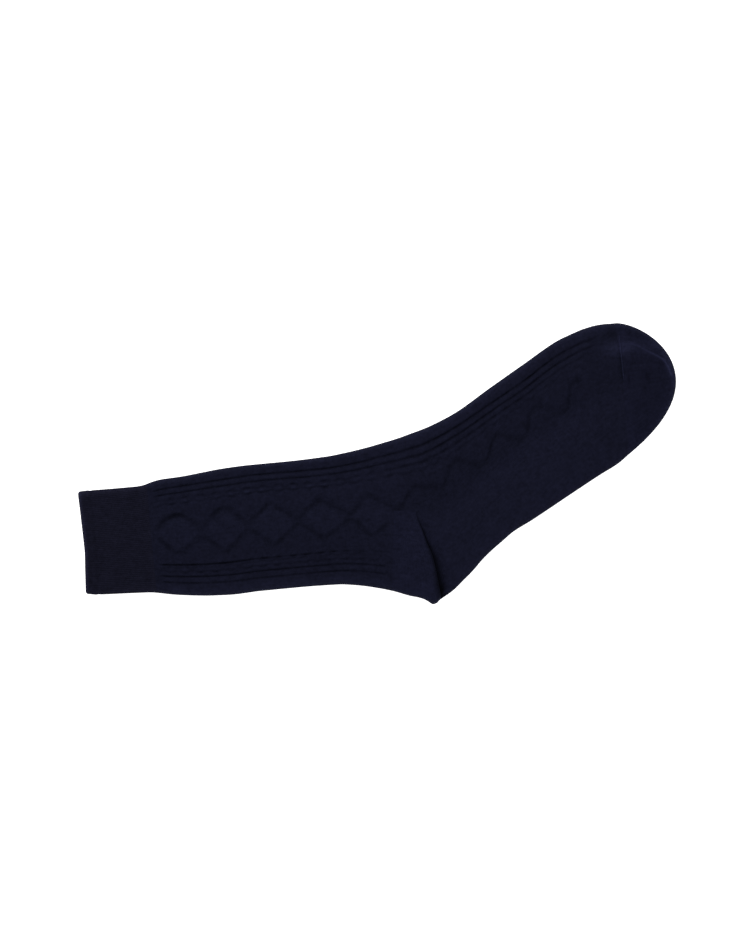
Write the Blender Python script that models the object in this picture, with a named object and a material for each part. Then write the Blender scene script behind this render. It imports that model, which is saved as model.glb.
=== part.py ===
"""A ribbed sock lying flat on its side, hollow, open at the cuff.

X runs along the leg from the cuff towards the ankle, Y towards the instep edge and Z up.
The origin is under the ankle, on the face that the sock lies on. All lengths are in metres.
"""

import math
from collections import namedtuple

import bpy
import numpy as np

# Driving dimensions
FOOT_LENGTH = 0.240
FOOT_WIDTH = 0.097
FOOT_ANGLE = math.radians(29.6)
LEG_LENGTH = 0.2518
LEG_WIDTH = 0.091
CUFF_LENGTH = 0.050
CUFF_WIDTH = 0.076
TOE_LENGTH = 0.0384

# Knitted wall and how high the lying sock stands
WALL = 0.0015
EDGE_RADIUS = 0.0045
LOFT = 0.0036
CUFF_LOFT = 0.0018
LOFT_RUN = 0.034
GAP = 0.0003

# Surface relief, all of it sunk into the wall
RIB_DEPTH = 0.0006
GROOVE_DEPTH = 0.0009
DIAMOND_DEPTH = 0.0009
CABLE_DEPTH = 0.0006

# Heel fold: the heel's lip lies over the start of the sole
LIP_RISE = 0.0010
LIP_RUN = 0.016
TUCK = 0.006
FOLD_RUN = 0.014
# Shares across the sock: how far past the heel's corner the fold and the tuck grow, and where they fade
FOLD_GROWS = 0.12
FOLD_FADES = (0.976, 0.999)
TUCK_GROWS = (0.105, 0.17)
TUCK_FADES = (0.90, 0.97)

# Toe seam
SEAM_WIDTH = 0.0015
SEAM_RISE = 0.0006

# Pattern counts: ribs on one face of the cuff, and rows of knitting in one diamond
CUFF_RIBS = 30
DIAMOND_ROWS = 6
LEG_DIAMONDS = 5

# Places across the flat sock, as shares from the instep edge to the back edge
HEEL_CORNER = 0.455
DIAMOND_MIDDLE = 0.475
DIAMOND_HALF = 0.17
PATTERN_MIRROR = 0.993

# Curve of the toe's outline: higher is squarer
TOE_ROUND_TOP = 1.5
TOE_ROUND_SOLE = 1.0

# The outline of the flat sock. along: share of the cuff's length from the mouth;
# front and back: distance from the leg's middle line as shares of the cuff's width.
Outline = namedtuple("Outline", "along front back")
CUFF_OUTLINE = [
    Outline(0.00, 0.488, 0.484),
    Outline(0.16, 0.491, 0.501),
    Outline(0.50, 0.488, 0.513),
    Outline(0.84, 0.487, 0.525),
    Outline(0.93, 0.492, 0.530),
]
# along: share of the leg below the cuff; front and back: shares of the leg's width.
LEG_OUTLINE = [
    Outline(0.020, 0.433, 0.458),
    Outline(0.050, 0.444, 0.472),
    Outline(0.124, 0.452, 0.496),
    Outline(0.198, 0.468, 0.512),
    Outline(0.273, 0.484, 0.519),
    Outline(0.372, 0.492, 0.511),
    Outline(0.500, 0.492, 0.511),
    Outline(0.644, 0.501, 0.518),
    Outline(0.719, 0.518, 0.541),
    Outline(0.793, 0.542, 0.580),
    Outline(0.843, 0.563, 0.614),
]
# Edges with one side only. along: share of the leg below the cuff, or of the foot's length
# from the ankle; out: share of the leg's or the foot's width, away from its middle line.
Edge = namedtuple("Edge", "along out")
HEEL_EDGE = [
    Edge(0.892, 0.657),
    Edge(0.942, 0.693),
    Edge(0.962, 0.722),
    Edge(0.976, 0.745),
    Edge(0.990, 0.738),
    Edge(1.000, 0.718),
]
INSTEP_EDGE = [
    Edge(0.042, 0.579),
    Edge(0.083, 0.552),
    Edge(0.125, 0.525),
    Edge(0.167, 0.506),
    Edge(0.229, 0.489),
    Edge(0.354, 0.493),
    Edge(0.479, 0.494),
    Edge(0.604, 0.492),
    Edge(0.646, 0.475),
    Edge(0.688, 0.453),
    Edge(0.729, 0.411),
    Edge(0.745, 0.389),
    Edge(0.776, 0.343),
]
SOLE_EDGE = [
    Edge(-0.115, 0.585),
    Edge(-0.083, 0.584),
    Edge(-0.042, 0.567),
    Edge(0.000, 0.548),
    Edge(0.042, 0.521),
    Edge(0.083, 0.504),
    Edge(0.125, 0.493),
    Edge(0.167, 0.483),
    Edge(0.229, 0.492),
    Edge(0.354, 0.499),
    Edge(0.479, 0.507),
    Edge(0.542, 0.515),
    Edge(0.604, 0.497),
]
TOE_TIP = Edge(0.829, -0.228)

# Courses of knitting: where one crosses six lines that run along the sock. Leg courses are
# shares of the leg below the cuff, back from the ankle, and foot courses are shares of the
# way from the ankle to the toe seam. row counts rows of knitting from the first diamond.
Course = namedtuple("Course", "row front cable corner side sole back")
COURSE_LINES = (0.0, 0.30, HEEL_CORNER, 0.60, 0.75, 1.0)
CUFF_ROW = -1.0
ANKLE_ROW = float(DIAMOND_ROWS * LEG_DIAMONDS)
CREASE_ROW = ANKLE_ROW + 3.0
SEAM_ROW = ANKLE_ROW + 34.5
LEG_COURSES = [
    Course(CUFF_ROW, 1.000, 1.000, 1.000, 1.000, 1.000, 1.000),
    Course(0.0, 0.976, 0.976, 0.976, 0.976, 0.976, 0.976),
    Course(ANKLE_ROW / 2, 0.554, 0.554, 0.554, 0.554, 0.554, 0.554),
    Course(ANKLE_ROW, 0.109, 0.119, 0.131, 0.141, 0.151, 0.167),
]
FOOT_COURSES = [
    Course(CREASE_ROW, 0.014, -0.034, -0.078, -0.023, 0.006, 0.010),
    Course(ANKLE_ROW + 6, 0.083, 0.065, 0.043, 0.058, 0.089, 0.117),
    Course(ANKLE_ROW + 12, 0.275, 0.261, 0.244, 0.244, 0.254, 0.275),
    Course(ANKLE_ROW + 24, 0.674, 0.663, 0.661, 0.660, 0.660, 0.660),
    Course(SEAM_ROW, 0.991, 1.000, 1.000, 1.000, 1.000, 1.000),
]

# Stripes that run along the sock, from the instep edge inwards. across: share of the flat
# width; sunk: share of the groove's depth. The back half mirrors them as far as the ankle.
Stripe = namedtuple("Stripe", "across sunk")
STRIPES = [
    Stripe(0.078, 0.0),
    Stripe(0.088, 1.0),
    Stripe(0.099, 0.0),
    Stripe(0.119, 0.0),
    Stripe(0.130, 1.0),
    Stripe(0.142, 0.3),
    Stripe(0.167, 0.3),
    Stripe(0.222, 0.3),
    Stripe(0.247, 1.0),
    Stripe(0.264, 0.0),
]
CABLE_MIDDLE = 0.195
ARC_STEPS = (0.0, 30.0, 60.0, 90.0)
# Points nearer to the outline than this take their direction from the outline itself
ON_EDGE = 0.0001

LEG_BODY = LEG_LENGTH - CUFF_LENGTH
ALONG_FOOT = np.array((math.cos(FOOT_ANGLE), math.sin(FOOT_ANGLE)))
ACROSS_FOOT = np.array((-math.sin(FOOT_ANGLE), math.cos(FOOT_ANGLE)))


def smooth_curve(knots, values, at):
    """A smooth curve through a table's points that never swings past them."""
    knots, values = np.asarray(knots, float), np.asarray(values, float)
    at = np.clip(at, knots[0], knots[-1])
    steps = np.diff(knots)
    slopes = np.diff(values) / steps
    ends = np.zeros(len(knots))
    ends[0], ends[-1] = slopes[0], slopes[-1]
    same_way = slopes[:-1] * slopes[1:] > 0
    with np.errstate(divide="ignore", invalid="ignore"):
        mean = 2 * slopes[:-1] * slopes[1:] / (slopes[:-1] + slopes[1:])
    ends[1:-1] = np.where(same_way, mean, 0.0)
    k = np.clip(np.searchsorted(knots, at, side="right") - 1, 0, len(steps) - 1)
    t = (at - knots[k]) / steps[k]
    start, finish = values[k], values[k + 1]
    bend = steps[k] * (ends[k] * t * (1 - t) ** 2 - ends[k + 1] * t**2 * (1 - t))
    return start + (finish - start) * t * t * (3 - 2 * t) + bend


def ease(low, high, at):
    """0 up to low, 1 from high on, and a smooth rise between."""
    t = np.clip((np.asarray(at, float) - low) / (high - low), 0, 1)
    return t * t * (3 - 2 * t)


def on_foot(along, across):
    return along * FOOT_LENGTH * ALONG_FOOT + across * FOOT_WIDTH * ACROSS_FOOT


def edge_points(side):
    """Points along the instep edge (side 1) or the back and sole edge (side -1), as (x, y)."""
    points = []
    for row in CUFF_OUTLINE:
        out = row.front if side > 0 else row.back
        points.append((row.along * CUFF_LENGTH - LEG_LENGTH, side * out * CUFF_WIDTH))
    for row in LEG_OUTLINE:
        out = row.front if side > 0 else row.back
        points.append(((row.along - 1) * LEG_BODY, side * out * LEG_WIDTH))
    if side < 0:
        for row in HEEL_EDGE:
            points.append(((row.along - 1) * LEG_BODY, -row.out * LEG_WIDTH))
    for row in INSTEP_EDGE if side > 0 else SOLE_EDGE:
        points.append(tuple(on_foot(row.along, side * row.out)))
    return np.array(points)


FRONT_POINTS = edge_points(1)
BACK_POINTS = edge_points(-1)
TIP = on_foot(*TOE_TIP)
SEAM_X = TIP[0] - TOE_LENGTH


def edge_y(x, side):
    """How far out the flat sock reaches at x, on one side."""
    points, roundness = (FRONT_POINTS, TOE_ROUND_TOP) if side > 0 else (BACK_POINTS, TOE_ROUND_SOLE)
    x = np.asarray(x, float)
    body = smooth_curve(points[:, 0], points[:, 1], np.minimum(x, SEAM_X))
    share = np.clip((x - SEAM_X) / TOE_LENGTH, 0, 1)
    return TIP[1] + (body - TIP[1]) * np.sqrt(1 - share**roundness)


def outline():
    """The closed-off outline of the flat sock as a chain of points, from mouth to mouth."""
    straight = np.linspace(-LEG_LENGTH, SEAM_X, 300)
    round_end = SEAM_X + TOE_LENGTH * np.sin(np.linspace(0, math.pi / 2, 80)[1:])
    x = np.concatenate([straight, round_end])
    front = np.stack([x, edge_y(x, 1)], axis=1)
    back = np.stack([x, edge_y(x, -1)], axis=1)
    return np.concatenate([front, back[-2::-1]])


OUTLINE = outline()


def from_outline(points):
    """Each point's distance to the outline, and the direction in which the outline lies."""
    start, span = OUTLINE[:-1], np.diff(OUTLINE, axis=0)
    length = (span**2).sum(axis=1)
    offset = points[:, None, :] - start[None]
    share = np.clip((offset * span).sum(axis=2) / length, 0, 1)
    near = start[None] + share[..., None] * span
    gaps = np.linalg.norm(points[:, None, :] - near, axis=2)
    best = gaps.argmin(axis=1)
    rows = np.arange(len(points))
    distance = gaps[rows, best]
    away = np.stack([-span[best, 1], span[best, 0]], axis=1)
    away /= np.linalg.norm(away, axis=1)[:, None]
    way = near[rows, best] - points
    clear = distance > ON_EDGE
    way[clear] /= distance[clear][:, None]
    way[~clear] = away[~clear]
    return distance, way


def course_x(row, across):
    """Where a row of knitting lies at a share across the sock. Rows past the seam count toe lengths."""
    if row >= SEAM_ROW:
        return SEAM_X + (row - SEAM_ROW) * TOE_LENGTH + 0 * across
    courses = [(c.row, -np.array(c[1:]) * LEG_BODY) for c in LEG_COURSES]
    courses += [(c.row, np.array(c[1:]) * SEAM_X) for c in FOOT_COURSES]
    rows = [c[0] for c in courses]
    crossed = [smooth_curve(rows, [c[1][k] for c in courses], row) for k in range(len(COURSE_LINES))]
    return smooth_curve(COURSE_LINES, crossed, across)


def skin(x, across, top):
    """Points on the smooth outer face, and the directions that point out of it."""
    y = edge_y(x, 1) + across * (edge_y(x, -1) - edge_y(x, 1))
    distance, way = from_outline(np.stack([x, y], axis=1))
    distance[(across <= 0) | (across >= 1)] = 0
    inside = np.minimum(distance / EDGE_RADIUS, 1)
    rise = np.sqrt(1 - (1 - inside) ** 2)
    loft = CUFF_LOFT + (LOFT - CUFF_LOFT) * ease(-LEG_BODY - CUFF_LENGTH / 2, -LEG_BODY / 2, x)
    crown = loft * ease(0, LOFT_RUN, distance - EDGE_RADIUS)
    z = np.where(top, EDGE_RADIUS * (1 + rise) + crown, EDGE_RADIUS * (1 - rise))
    out = (1 - inside)[:, None] * way
    normal = np.column_stack([out, np.where(top, rise, -rise)])
    normal /= np.linalg.norm(normal, axis=1)[:, None]
    return np.column_stack([x, y, z]), normal


def arc_shares(width):
    """Shares of the width that cut the rounded edge into even steps."""
    return [EDGE_RADIUS * (1 - math.cos(math.radians(a))) / width for a in ARC_STEPS]


def ring(middle_top, middle_under, width):
    """Columns once round the flat tube, each a share across and whether it is on top."""
    arc = arc_shares(width)
    far = [1 - share for share in reversed(arc)]
    top = arc + sorted(middle_top) + far
    under = arc[1:] + sorted(middle_under) + far[:-1]
    return [(share, True) for share in top] + [(share, False) for share in reversed(under)]


def coarse_columns(columns, top_shares, under_shares):
    """The columns nearest to the shares asked for, with both edges and the ends of their arcs."""
    edge, arc = 0.0, arc_shares(LEG_WIDTH)[-1]
    wanted = [(share, True) for share in [edge, arc, *top_shares, 1 - arc, 1 - edge]]
    wanted += [(share, False) for share in [arc, *under_shares, 1 - arc]]
    kept = set()
    for share, top in wanted:
        same_side = [column for column in columns if column[1] == top]
        kept.add(min(same_side, key=lambda column: abs(column[0] - share)))
    return kept


def diamond_columns(last):
    third = DIAMOND_HALF / 3
    columns = [DIAMOND_MIDDLE + third * k for k in range(-3, 4)]
    return [share for share in columns if share <= last]


STRIPE_COLUMNS = [s.across for s in STRIPES] + [CABLE_MIDDLE]
BACK_STRIPE_COLUMNS = [PATTERN_MIRROR - share for share in STRIPE_COLUMNS]
PLAIN_COLUMNS = [0.50, 0.56, 0.63, 0.71, 0.79, 0.87]
TOE_COLUMNS = [0.14, 0.22, 0.30, 0.38, HEEL_CORNER, 0.54, 0.63, 0.71, 0.79, 0.87]
UNDER_COLUMNS = [0.16, 0.30, HEEL_CORNER, 0.62, 0.82]


def stripe_sunk(across):
    return np.interp(across, [s.across for s in STRIPES], [s.sunk for s in STRIPES], 0, 0)


def pattern(row, across):
    """How deep the knitted pattern is sunk at one point of the upper face."""
    front = across < DIAMOND_MIDDLE
    if not front and row > ANKLE_ROW:
        return 0.0
    fade = float(ease(CUFF_ROW, 0, row) * (1 - ease(SEAM_ROW - 3, SEAM_ROW - 0.5, row)))
    place = across if front else PATTERN_MIRROR - across
    if abs(place - CABLE_MIDDLE) < 1e-6:
        return fade * CABLE_DEPTH * (round(row) % 2)
    depth = GROOVE_DEPTH * float(stripe_sunk(place))
    height = abs(across - DIAMOND_MIDDLE) / DIAMOND_HALF
    half = DIAMOND_ROWS / 2
    spread = abs((row + half) % DIAMOND_ROWS - half) / half
    if abs(height - spread) < 1 / DIAMOND_ROWS:
        depth = max(depth, DIAMOND_DEPTH)
    return fade * depth


def fold_share(across):
    """How much of the heel's fold there is at a share across: none at its top or under the edge."""
    return ease(HEEL_CORNER, HEEL_CORNER + FOLD_GROWS, across) * (1 - ease(*FOLD_FADES, across))


def tuck_share(across):
    """How far the sole runs under the lip: only where the fold is deep enough to hold it."""
    near, far = (HEEL_CORNER + share for share in TUCK_GROWS)
    return ease(near, far, across) * (1 - ease(*TUCK_FADES, across))


def add_mesh(name, vertices, faces, colour, roughness):
    mesh = bpy.data.meshes.new(name)
    mesh.from_pydata([tuple(v) for v in vertices], [], faces)
    mesh.validate()
    mesh.shade_smooth()
    mesh.set_sharp_from_angle(angle=math.radians(50))
    knit = bpy.data.materials.new(name)
    knit.use_nodes = True
    shader = knit.node_tree.nodes["Principled BSDF"]
    shader.inputs["Base Color"].default_value = (*colour, 1)
    shader.inputs["Roughness"].default_value = roughness
    shader.inputs["Metallic"].default_value = 0.0
    mesh.materials.append(knit)
    body = bpy.data.objects.new(name, mesh)
    bpy.context.collection.objects.link(body)


class Panel:
    """A piece of the knitted tube with a fine outer face, a coarser inner face and walls round its rims.

    rows and columns make the outer grid. The inner face keeps only the coarse ones, and holds(row,
    across) says whether the patch between coarse lines belongs to the piece.
    """

    def __init__(self, rows, columns, coarse_rows, coarse_columns, holds, relief, slide, closed=False):
        self.rows, self.columns = rows, columns
        self.relief, self.slide = relief, slide
        self.coarse_i = [i for i, row in enumerate(rows) if row in coarse_rows]
        self.coarse_j = [j for j, column in enumerate(columns) if column in coarse_columns]
        self.held = {
            (r, c)
            for r in range(len(self.coarse_i) - 1)
            for c in range(len(self.coarse_j))
            if holds(self.middle_row(r), self.middle_column(c))
        }
        self.vertices, self.faces = [], []
        self.outer, self.inner = {}, {}
        self.place_points()
        self.make_faces()
        if closed:
            self.close_tip()

    def middle_row(self, r):
        return (self.rows[self.coarse_i[r]] + self.rows[self.coarse_i[r + 1]]) / 2

    def middle_column(self, c):
        """The share across, halfway round a patch."""
        count = len(self.columns)
        first, last = self.coarse_j[c], self.coarse_j[(c + 1) % len(self.coarse_j)]
        half = first + ((last - first) % count - 1) // 2
        return (self.columns[half % count][0] + self.columns[(half + 1) % count][0]) / 2

    def patch_of(self, i, j):
        if i < 0 or i >= len(self.rows) - 1:
            return None
        r = max(k for k, row in enumerate(self.coarse_i) if row <= i)
        below = [k for k, column in enumerate(self.coarse_j) if column <= j]
        c = max(below) if below else len(self.coarse_j) - 1
        return (r, c) if (r, c) in self.held else None

    def place_points(self):
        count = len(self.columns)
        x, share, top, sunk, keys = [], [], [], [], []
        for i, row in enumerate(self.rows):
            for j, (across, is_top) in enumerate(self.columns):
                near = [(a, b) for a in (-1, 0) for b in (-1, 0) if self.patch_of(i + a, (j + b) % count)]
                if not near:
                    continue
                forward = np.sign(sum(2 * a + 1 for a, b in near))
                round_way = np.sign(sum(2 * b + 1 for a, b in near))
                place = float(course_x(row, np.float64(across)))
                place += forward * GAP / 2 + self.slide(i, row, across, is_top)
                width = float(edge_y(place, 1) - edge_y(place, -1))
                turn = round_way * GAP / 2 / max(width, GAP)
                x.append(place)
                share.append(across + (turn if is_top else -turn))
                top.append(is_top)
                sunk.append(self.relief(row, across, is_top))
                keys.append((i, j))
        points, normals = skin(np.array(x), np.array(share), np.array(top))
        sunk = np.array(sunk)
        outside = points - normals * sunk[:, :1]
        inside = points - normals * (sunk[:, 1:] + WALL)
        coarse = {(i, j) for i in self.coarse_i for j in self.coarse_j}
        for n, key in enumerate(keys):
            self.outer[key] = len(self.vertices)
            self.vertices.append(outside[n])
            if key in coarse:
                self.inner[key] = len(self.vertices)
                self.vertices.append(inside[n])
        self.depth = {key: sunk[n, 0] for n, key in enumerate(keys)}

    def make_faces(self):
        count = len(self.columns)
        for i in range(len(self.rows) - 1):
            for j in range(count):
                if self.patch_of(i, j):
                    self.add_quad(i, j, (j + 1) % count)
        for r, c in sorted(self.held):
            i0, i1 = self.coarse_i[r], self.coarse_i[r + 1]
            j0, j1 = self.coarse_j[c], self.coarse_j[(c + 1) % len(self.coarse_j)]
            self.faces.append([self.inner[k] for k in ((i0, j0), (i1, j0), (i1, j1), (i0, j1))])
            steps = (j1 - j0) % count
            across = [(j0 + k) % count for k in range(steps + 1)]
            along = list(range(i0, i1 + 1))
            columns = len(self.coarse_j)
            if (r - 1, c) not in self.held:
                self.add_wall([(i0, j) for j in reversed(across)])
            if (r + 1, c) not in self.held:
                self.add_wall([(i1, j) for j in across])
            if (r, (c - 1) % columns) not in self.held:
                self.add_wall([(i, j0) for i in along])
            if (r, (c + 1) % columns) not in self.held:
                self.add_wall([(i, j1) for i in reversed(along)])

    def add_quad(self, i, j, after):
        """Two triangles whose shared side follows the deeper pair of corners, so that grooves stay sharp."""
        keys = [(i, j), (i, after), (i + 1, after), (i + 1, j)]
        a, b, c, d = (self.outer[k] for k in keys)
        deep = [self.depth[k] for k in keys]
        if deep[0] + deep[2] >= deep[1] + deep[3]:
            self.faces += [[a, b, c], [a, c, d]]
        else:
            self.faces += [[a, b, d], [b, c, d]]

    def add_wall(self, keys):
        """Joins a run of outer points to the one inner side behind it."""
        run = [self.outer[k] for k in keys]
        first, last = self.inner[keys[0]], self.inner[keys[-1]]
        half = len(run) // 2
        for n in range(len(run) - 1):
            behind = first if n < half else last
            self.faces.append([run[n], run[n + 1], behind])
        self.faces.append([run[half], last, first])

    def close_tip(self):
        """Replaces the wall at the last row by an outer and an inner end."""
        i = len(self.rows) - 1
        rim = {self.outer[(i, j)] for j in range(len(self.columns))}
        rim |= {self.inner[(i, j)] for j in self.coarse_j}
        self.faces = [face for face in self.faces if not set(face) <= rim]
        tip = np.array((TIP[0], TIP[1], EDGE_RADIUS))
        outer = [self.outer[(i, j)] for j in range(len(self.columns))]
        inner = [self.inner[(i, j)] for j in self.coarse_j]
        for loop, back, flip in ((outer, 0.0, False), (inner, WALL, True)):
            centre = len(self.vertices)
            self.vertices.append(tip - np.array((back, 0, 0)))
            for k, point in enumerate(loop):
                after = loop[(k + 1) % len(loop)]
                self.faces.append([after, point, centre] if flip else [point, after, centre])


def no_slide(i, row, across, top):
    return 0.0


def everywhere(row, across):
    return True


def make_cuff():
    """Fine lengthwise ribs all round, with a stitched line under the welt at the mouth."""
    steps = 2 * CUFF_RIBS
    shares = [k / steps for k in range(steps + 1)]
    columns = [(share, True) for share in shares]
    columns += [(share, False) for share in reversed(shares[1:-1])]
    # along: share of the cuff's length; ribs: share of the rib's depth; band: sunk all round
    Band = namedtuple("Band", "along ribs band")
    bands = [
        Band(0.00, 0.0, 0.8),
        Band(0.03, 0.7, 0.0),
        Band(0.16, 0.7, 0.0),
        Band(0.18, 0.3, 0.8),
        Band(0.20, 1.0, 0.0),
        Band(0.60, 1.0, 0.0),
        Band(0.96, 1.0, 0.0),
        Band(1.00, 0.5, 0.8),
    ]
    rows = [band.along for band in bands]

    def relief(row, across, top):
        band = bands[rows.index(row)]
        groove = round(across * steps) % 2
        return RIB_DEPTH * max(groove * band.ribs, band.band), 0.0

    def slide(i, row, across, top):
        return -LEG_LENGTH + row * CUFF_LENGTH - float(course_x(row, np.float64(across)))

    inner = [0.13, 0.27, 0.40, 0.50, 0.60, 0.73, 0.87]
    coarse = coarse_columns(columns, inner, inner)
    coarse_rows = (0.00, 0.20, 0.60, 1.00)
    panel = Panel(rows, columns, coarse_rows, coarse, everywhere, relief, slide)
    add_mesh("cuff", panel.vertices, panel.faces, (0.0058, 0.0067, 0.0137), 0.92)


def make_leg():
    """The patterned tube between the cuff and the ankle."""
    rows = [CUFF_ROW] + [float(k) for k in range(int(ANKLE_ROW) + 1)]
    columns = ring(
        STRIPE_COLUMNS + diamond_columns(1.0) + BACK_STRIPE_COLUMNS, UNDER_COLUMNS, LEG_WIDTH
    )

    def relief(row, across, top):
        return (pattern(row, across) if top else 0.0), 0.0

    coarse = coarse_columns(columns, [0.14, 0.25, DIAMOND_MIDDLE, 0.75, 0.85], [0.30, 0.62])
    coarse_rows = [CUFF_ROW] + [float(k) for k in range(0, int(ANKLE_ROW) + 1, 3)]
    panel = Panel(rows, columns, coarse_rows, coarse, everywhere, relief, no_slide)
    add_mesh("leg", panel.vertices, panel.faces, (0.0066, 0.0075, 0.0158), 0.9)


def behind_corner(across):
    return across > HEEL_CORNER


def make_heel():
    """The heel pocket: it wraps the back edge, and its upper rim lies over the sole as a rounded lip."""
    rows = [ANKLE_ROW + share * (CREASE_ROW - ANKLE_ROW) for share in (0, 0.25, 0.5, 0.7, 0.85, 0.95, 1)]
    columns = ring([HEEL_CORNER, DIAMOND_MIDDLE] + PLAIN_COLUMNS, UNDER_COLUMNS, LEG_WIDTH)

    def relief(row, across, top):
        if not top:
            return 0.0, 0.0
        before = float(course_x(CREASE_ROW, np.float64(across)) - course_x(row, np.float64(across)))
        lift = LIP_RISE * float(fold_share(across) * (1 - ease(0, LIP_RUN, before)))
        rim = LIP_RISE * 0.5 * float(fold_share(across)) * (row == CREASE_ROW)
        return rim - lift, -lift

    def holds(row, across):
        return behind_corner(across)

    coarse = coarse_columns(columns, [HEEL_CORNER, 0.50, 0.56, 0.71, 0.87], [HEEL_CORNER, 0.62, 0.82])
    coarse_rows = [rows[k] for k in (0, 2, 4, 6)]
    panel = Panel(rows, columns, coarse_rows, coarse, holds, relief, no_slide)
    add_mesh("heel", panel.vertices, panel.faces, (0.0062, 0.0071, 0.0150), 0.9)


def make_foot():
    """The patterned instep and the plain sole, whose upper start is tucked under the heel's lip."""
    rows = [ANKLE_ROW, ANKLE_ROW + 1, ANKLE_ROW + 2, CREASE_ROW, CREASE_ROW + 0.5]
    rows += [CREASE_ROW + k for k in range(1, int(SEAM_ROW - CREASE_ROW) + 1)] + [SEAM_ROW]
    middle = STRIPE_COLUMNS + diamond_columns(DIAMOND_MIDDLE) + [HEEL_CORNER]
    columns = ring(middle + PLAIN_COLUMNS, UNDER_COLUMNS, LEG_WIDTH)

    def relief(row, across, top):
        if not top:
            return 0.0, 0.0
        past = float(course_x(row, np.float64(across)) - course_x(CREASE_ROW, np.float64(across)))
        dip = float(fold_share(across) * (1 - ease(0, FOLD_RUN, past))) * (WALL + GAP)
        if row < CREASE_ROW:
            dip = 0.0
        return max(pattern(row, across), dip), dip

    def slide(i, row, across, top):
        if row != CREASE_ROW or not top:
            return 0.0
        return -TUCK * float(tuck_share(across))

    def holds(row, across):
        return row > CREASE_ROW or not behind_corner(across)

    inner = [0.14, 0.25, HEEL_CORNER, 0.50, 0.56, 0.63, 0.79]
    coarse = coarse_columns(columns, inner, [0.30, HEEL_CORNER, 0.62, 0.82])
    coarse_rows = [ANKLE_ROW, CREASE_ROW, CREASE_ROW + 1]
    coarse_rows += [CREASE_ROW + k for k in range(4, int(SEAM_ROW - CREASE_ROW), 3)] + [SEAM_ROW]
    panel = Panel(rows, columns, coarse_rows, coarse, holds, relief, slide)
    add_mesh("foot", panel.vertices, panel.faces, (0.0064, 0.0073, 0.0154), 0.9)


SEAM_END_ROW = SEAM_ROW + SEAM_WIDTH / TOE_LENGTH


def make_toe_seam():
    """The linked seam, a low bead across the instep half and round its edge."""
    rows = [SEAM_ROW, SEAM_ROW + SEAM_WIDTH / TOE_LENGTH / 2, SEAM_END_ROW]
    columns = ring(TOE_COLUMNS, UNDER_COLUMNS, LEG_WIDTH)

    def relief(row, across, top):
        rise = (1.0 if row == rows[1] else 0.4) * SEAM_RISE
        return (-rise if top and across > 0.02 else 0.0), 0.0

    def holds(row, across):
        return not behind_corner(across)

    coarse = coarse_columns(columns, [0.22, 0.30, HEEL_CORNER], [0.16, HEEL_CORNER])
    panel = Panel(rows, columns, (rows[0], rows[2]), coarse, holds, relief, no_slide)
    add_mesh("toe_seam", panel.vertices, panel.faces, (0.0085, 0.0095, 0.0200), 0.88)


def make_toe():
    """The closed toe pocket."""
    shares = (0.11, 0.22, 0.34, 0.46, 0.58, 0.70, 0.80, 0.88, 0.94, 0.98, 0.996)
    rows = [SEAM_ROW, SEAM_END_ROW] + [SEAM_ROW + share for share in shares]
    columns = ring(TOE_COLUMNS, UNDER_COLUMNS, LEG_WIDTH)

    def relief(row, across, top):
        return 0.0, 0.0

    def holds(row, across):
        return row > SEAM_END_ROW or behind_corner(across)

    coarse = coarse_columns(columns, [0.22, HEEL_CORNER, 0.71], [0.30, HEEL_CORNER, 0.62])
    coarse_rows = [SEAM_ROW, SEAM_END_ROW] + [SEAM_ROW + shares[k] for k in (2, 5, 7, 9, 10)]
    panel = Panel(rows, columns, coarse_rows, coarse, holds, relief, no_slide, closed=True)
    add_mesh("toe", panel.vertices, panel.faces, (0.0070, 0.0078, 0.0163), 0.9)


for thing in list(bpy.data.objects):
    bpy.data.objects.remove(thing, do_unlink=True)

make_cuff()
make_leg()
make_heel()
make_foot()
make_toe_seam()
make_toe()
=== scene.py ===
"""A dark navy ribbed sock lying flat on its side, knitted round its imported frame.

Lengths are in metres, in the part's own frame: X runs along the leg from the cuff towards
the ankle, Y towards the instep edge and Z up from the surface that the sock lies on.
"""

import math
from collections import namedtuple

import bpy
import numpy as np
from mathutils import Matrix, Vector


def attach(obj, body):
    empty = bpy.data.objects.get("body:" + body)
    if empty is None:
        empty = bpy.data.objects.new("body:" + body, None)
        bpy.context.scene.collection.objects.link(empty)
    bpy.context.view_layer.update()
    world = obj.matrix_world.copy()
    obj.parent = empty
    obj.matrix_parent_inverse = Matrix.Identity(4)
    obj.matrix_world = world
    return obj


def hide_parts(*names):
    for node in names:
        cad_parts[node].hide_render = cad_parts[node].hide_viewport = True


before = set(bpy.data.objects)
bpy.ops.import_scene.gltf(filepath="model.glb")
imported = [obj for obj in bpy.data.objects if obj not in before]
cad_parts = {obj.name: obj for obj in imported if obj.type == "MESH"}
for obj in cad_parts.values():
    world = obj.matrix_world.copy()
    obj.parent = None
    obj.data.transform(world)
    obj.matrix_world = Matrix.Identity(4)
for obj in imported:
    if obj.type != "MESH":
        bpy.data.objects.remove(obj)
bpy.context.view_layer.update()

# Sizes of the flat sock, those of the solids. The toe end alone stands out further, by its bulge
FOOT_LENGTH = 0.240
FOOT_WIDTH = 0.097
FOOT_ANGLE = math.radians(29.6)
LEG_LENGTH = 0.2518
LEG_WIDTH = 0.091
CUFF_LENGTH = 0.050
CUFF_WIDTH = 0.076
TOE_BULGE = 0.0009
TOE_LENGTH = 0.0384 + TOE_BULGE
LEG_BODY = LEG_LENGTH - CUFF_LENGTH

# The knitted wall, how high the lying sock stands, how far a piece stops short of the next,
# and the angle from which an edge of the cloth is sharp
WALL = 0.0015
EDGE_RADIUS = 0.0045
EDGE_COLUMNS = 12
LOFT = 0.0036
CUFF_LOFT = 0.0018
LOFT_RUN = 0.034
JOIN = 0.000005
SHARP_ANGLE = math.radians(62)

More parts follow.
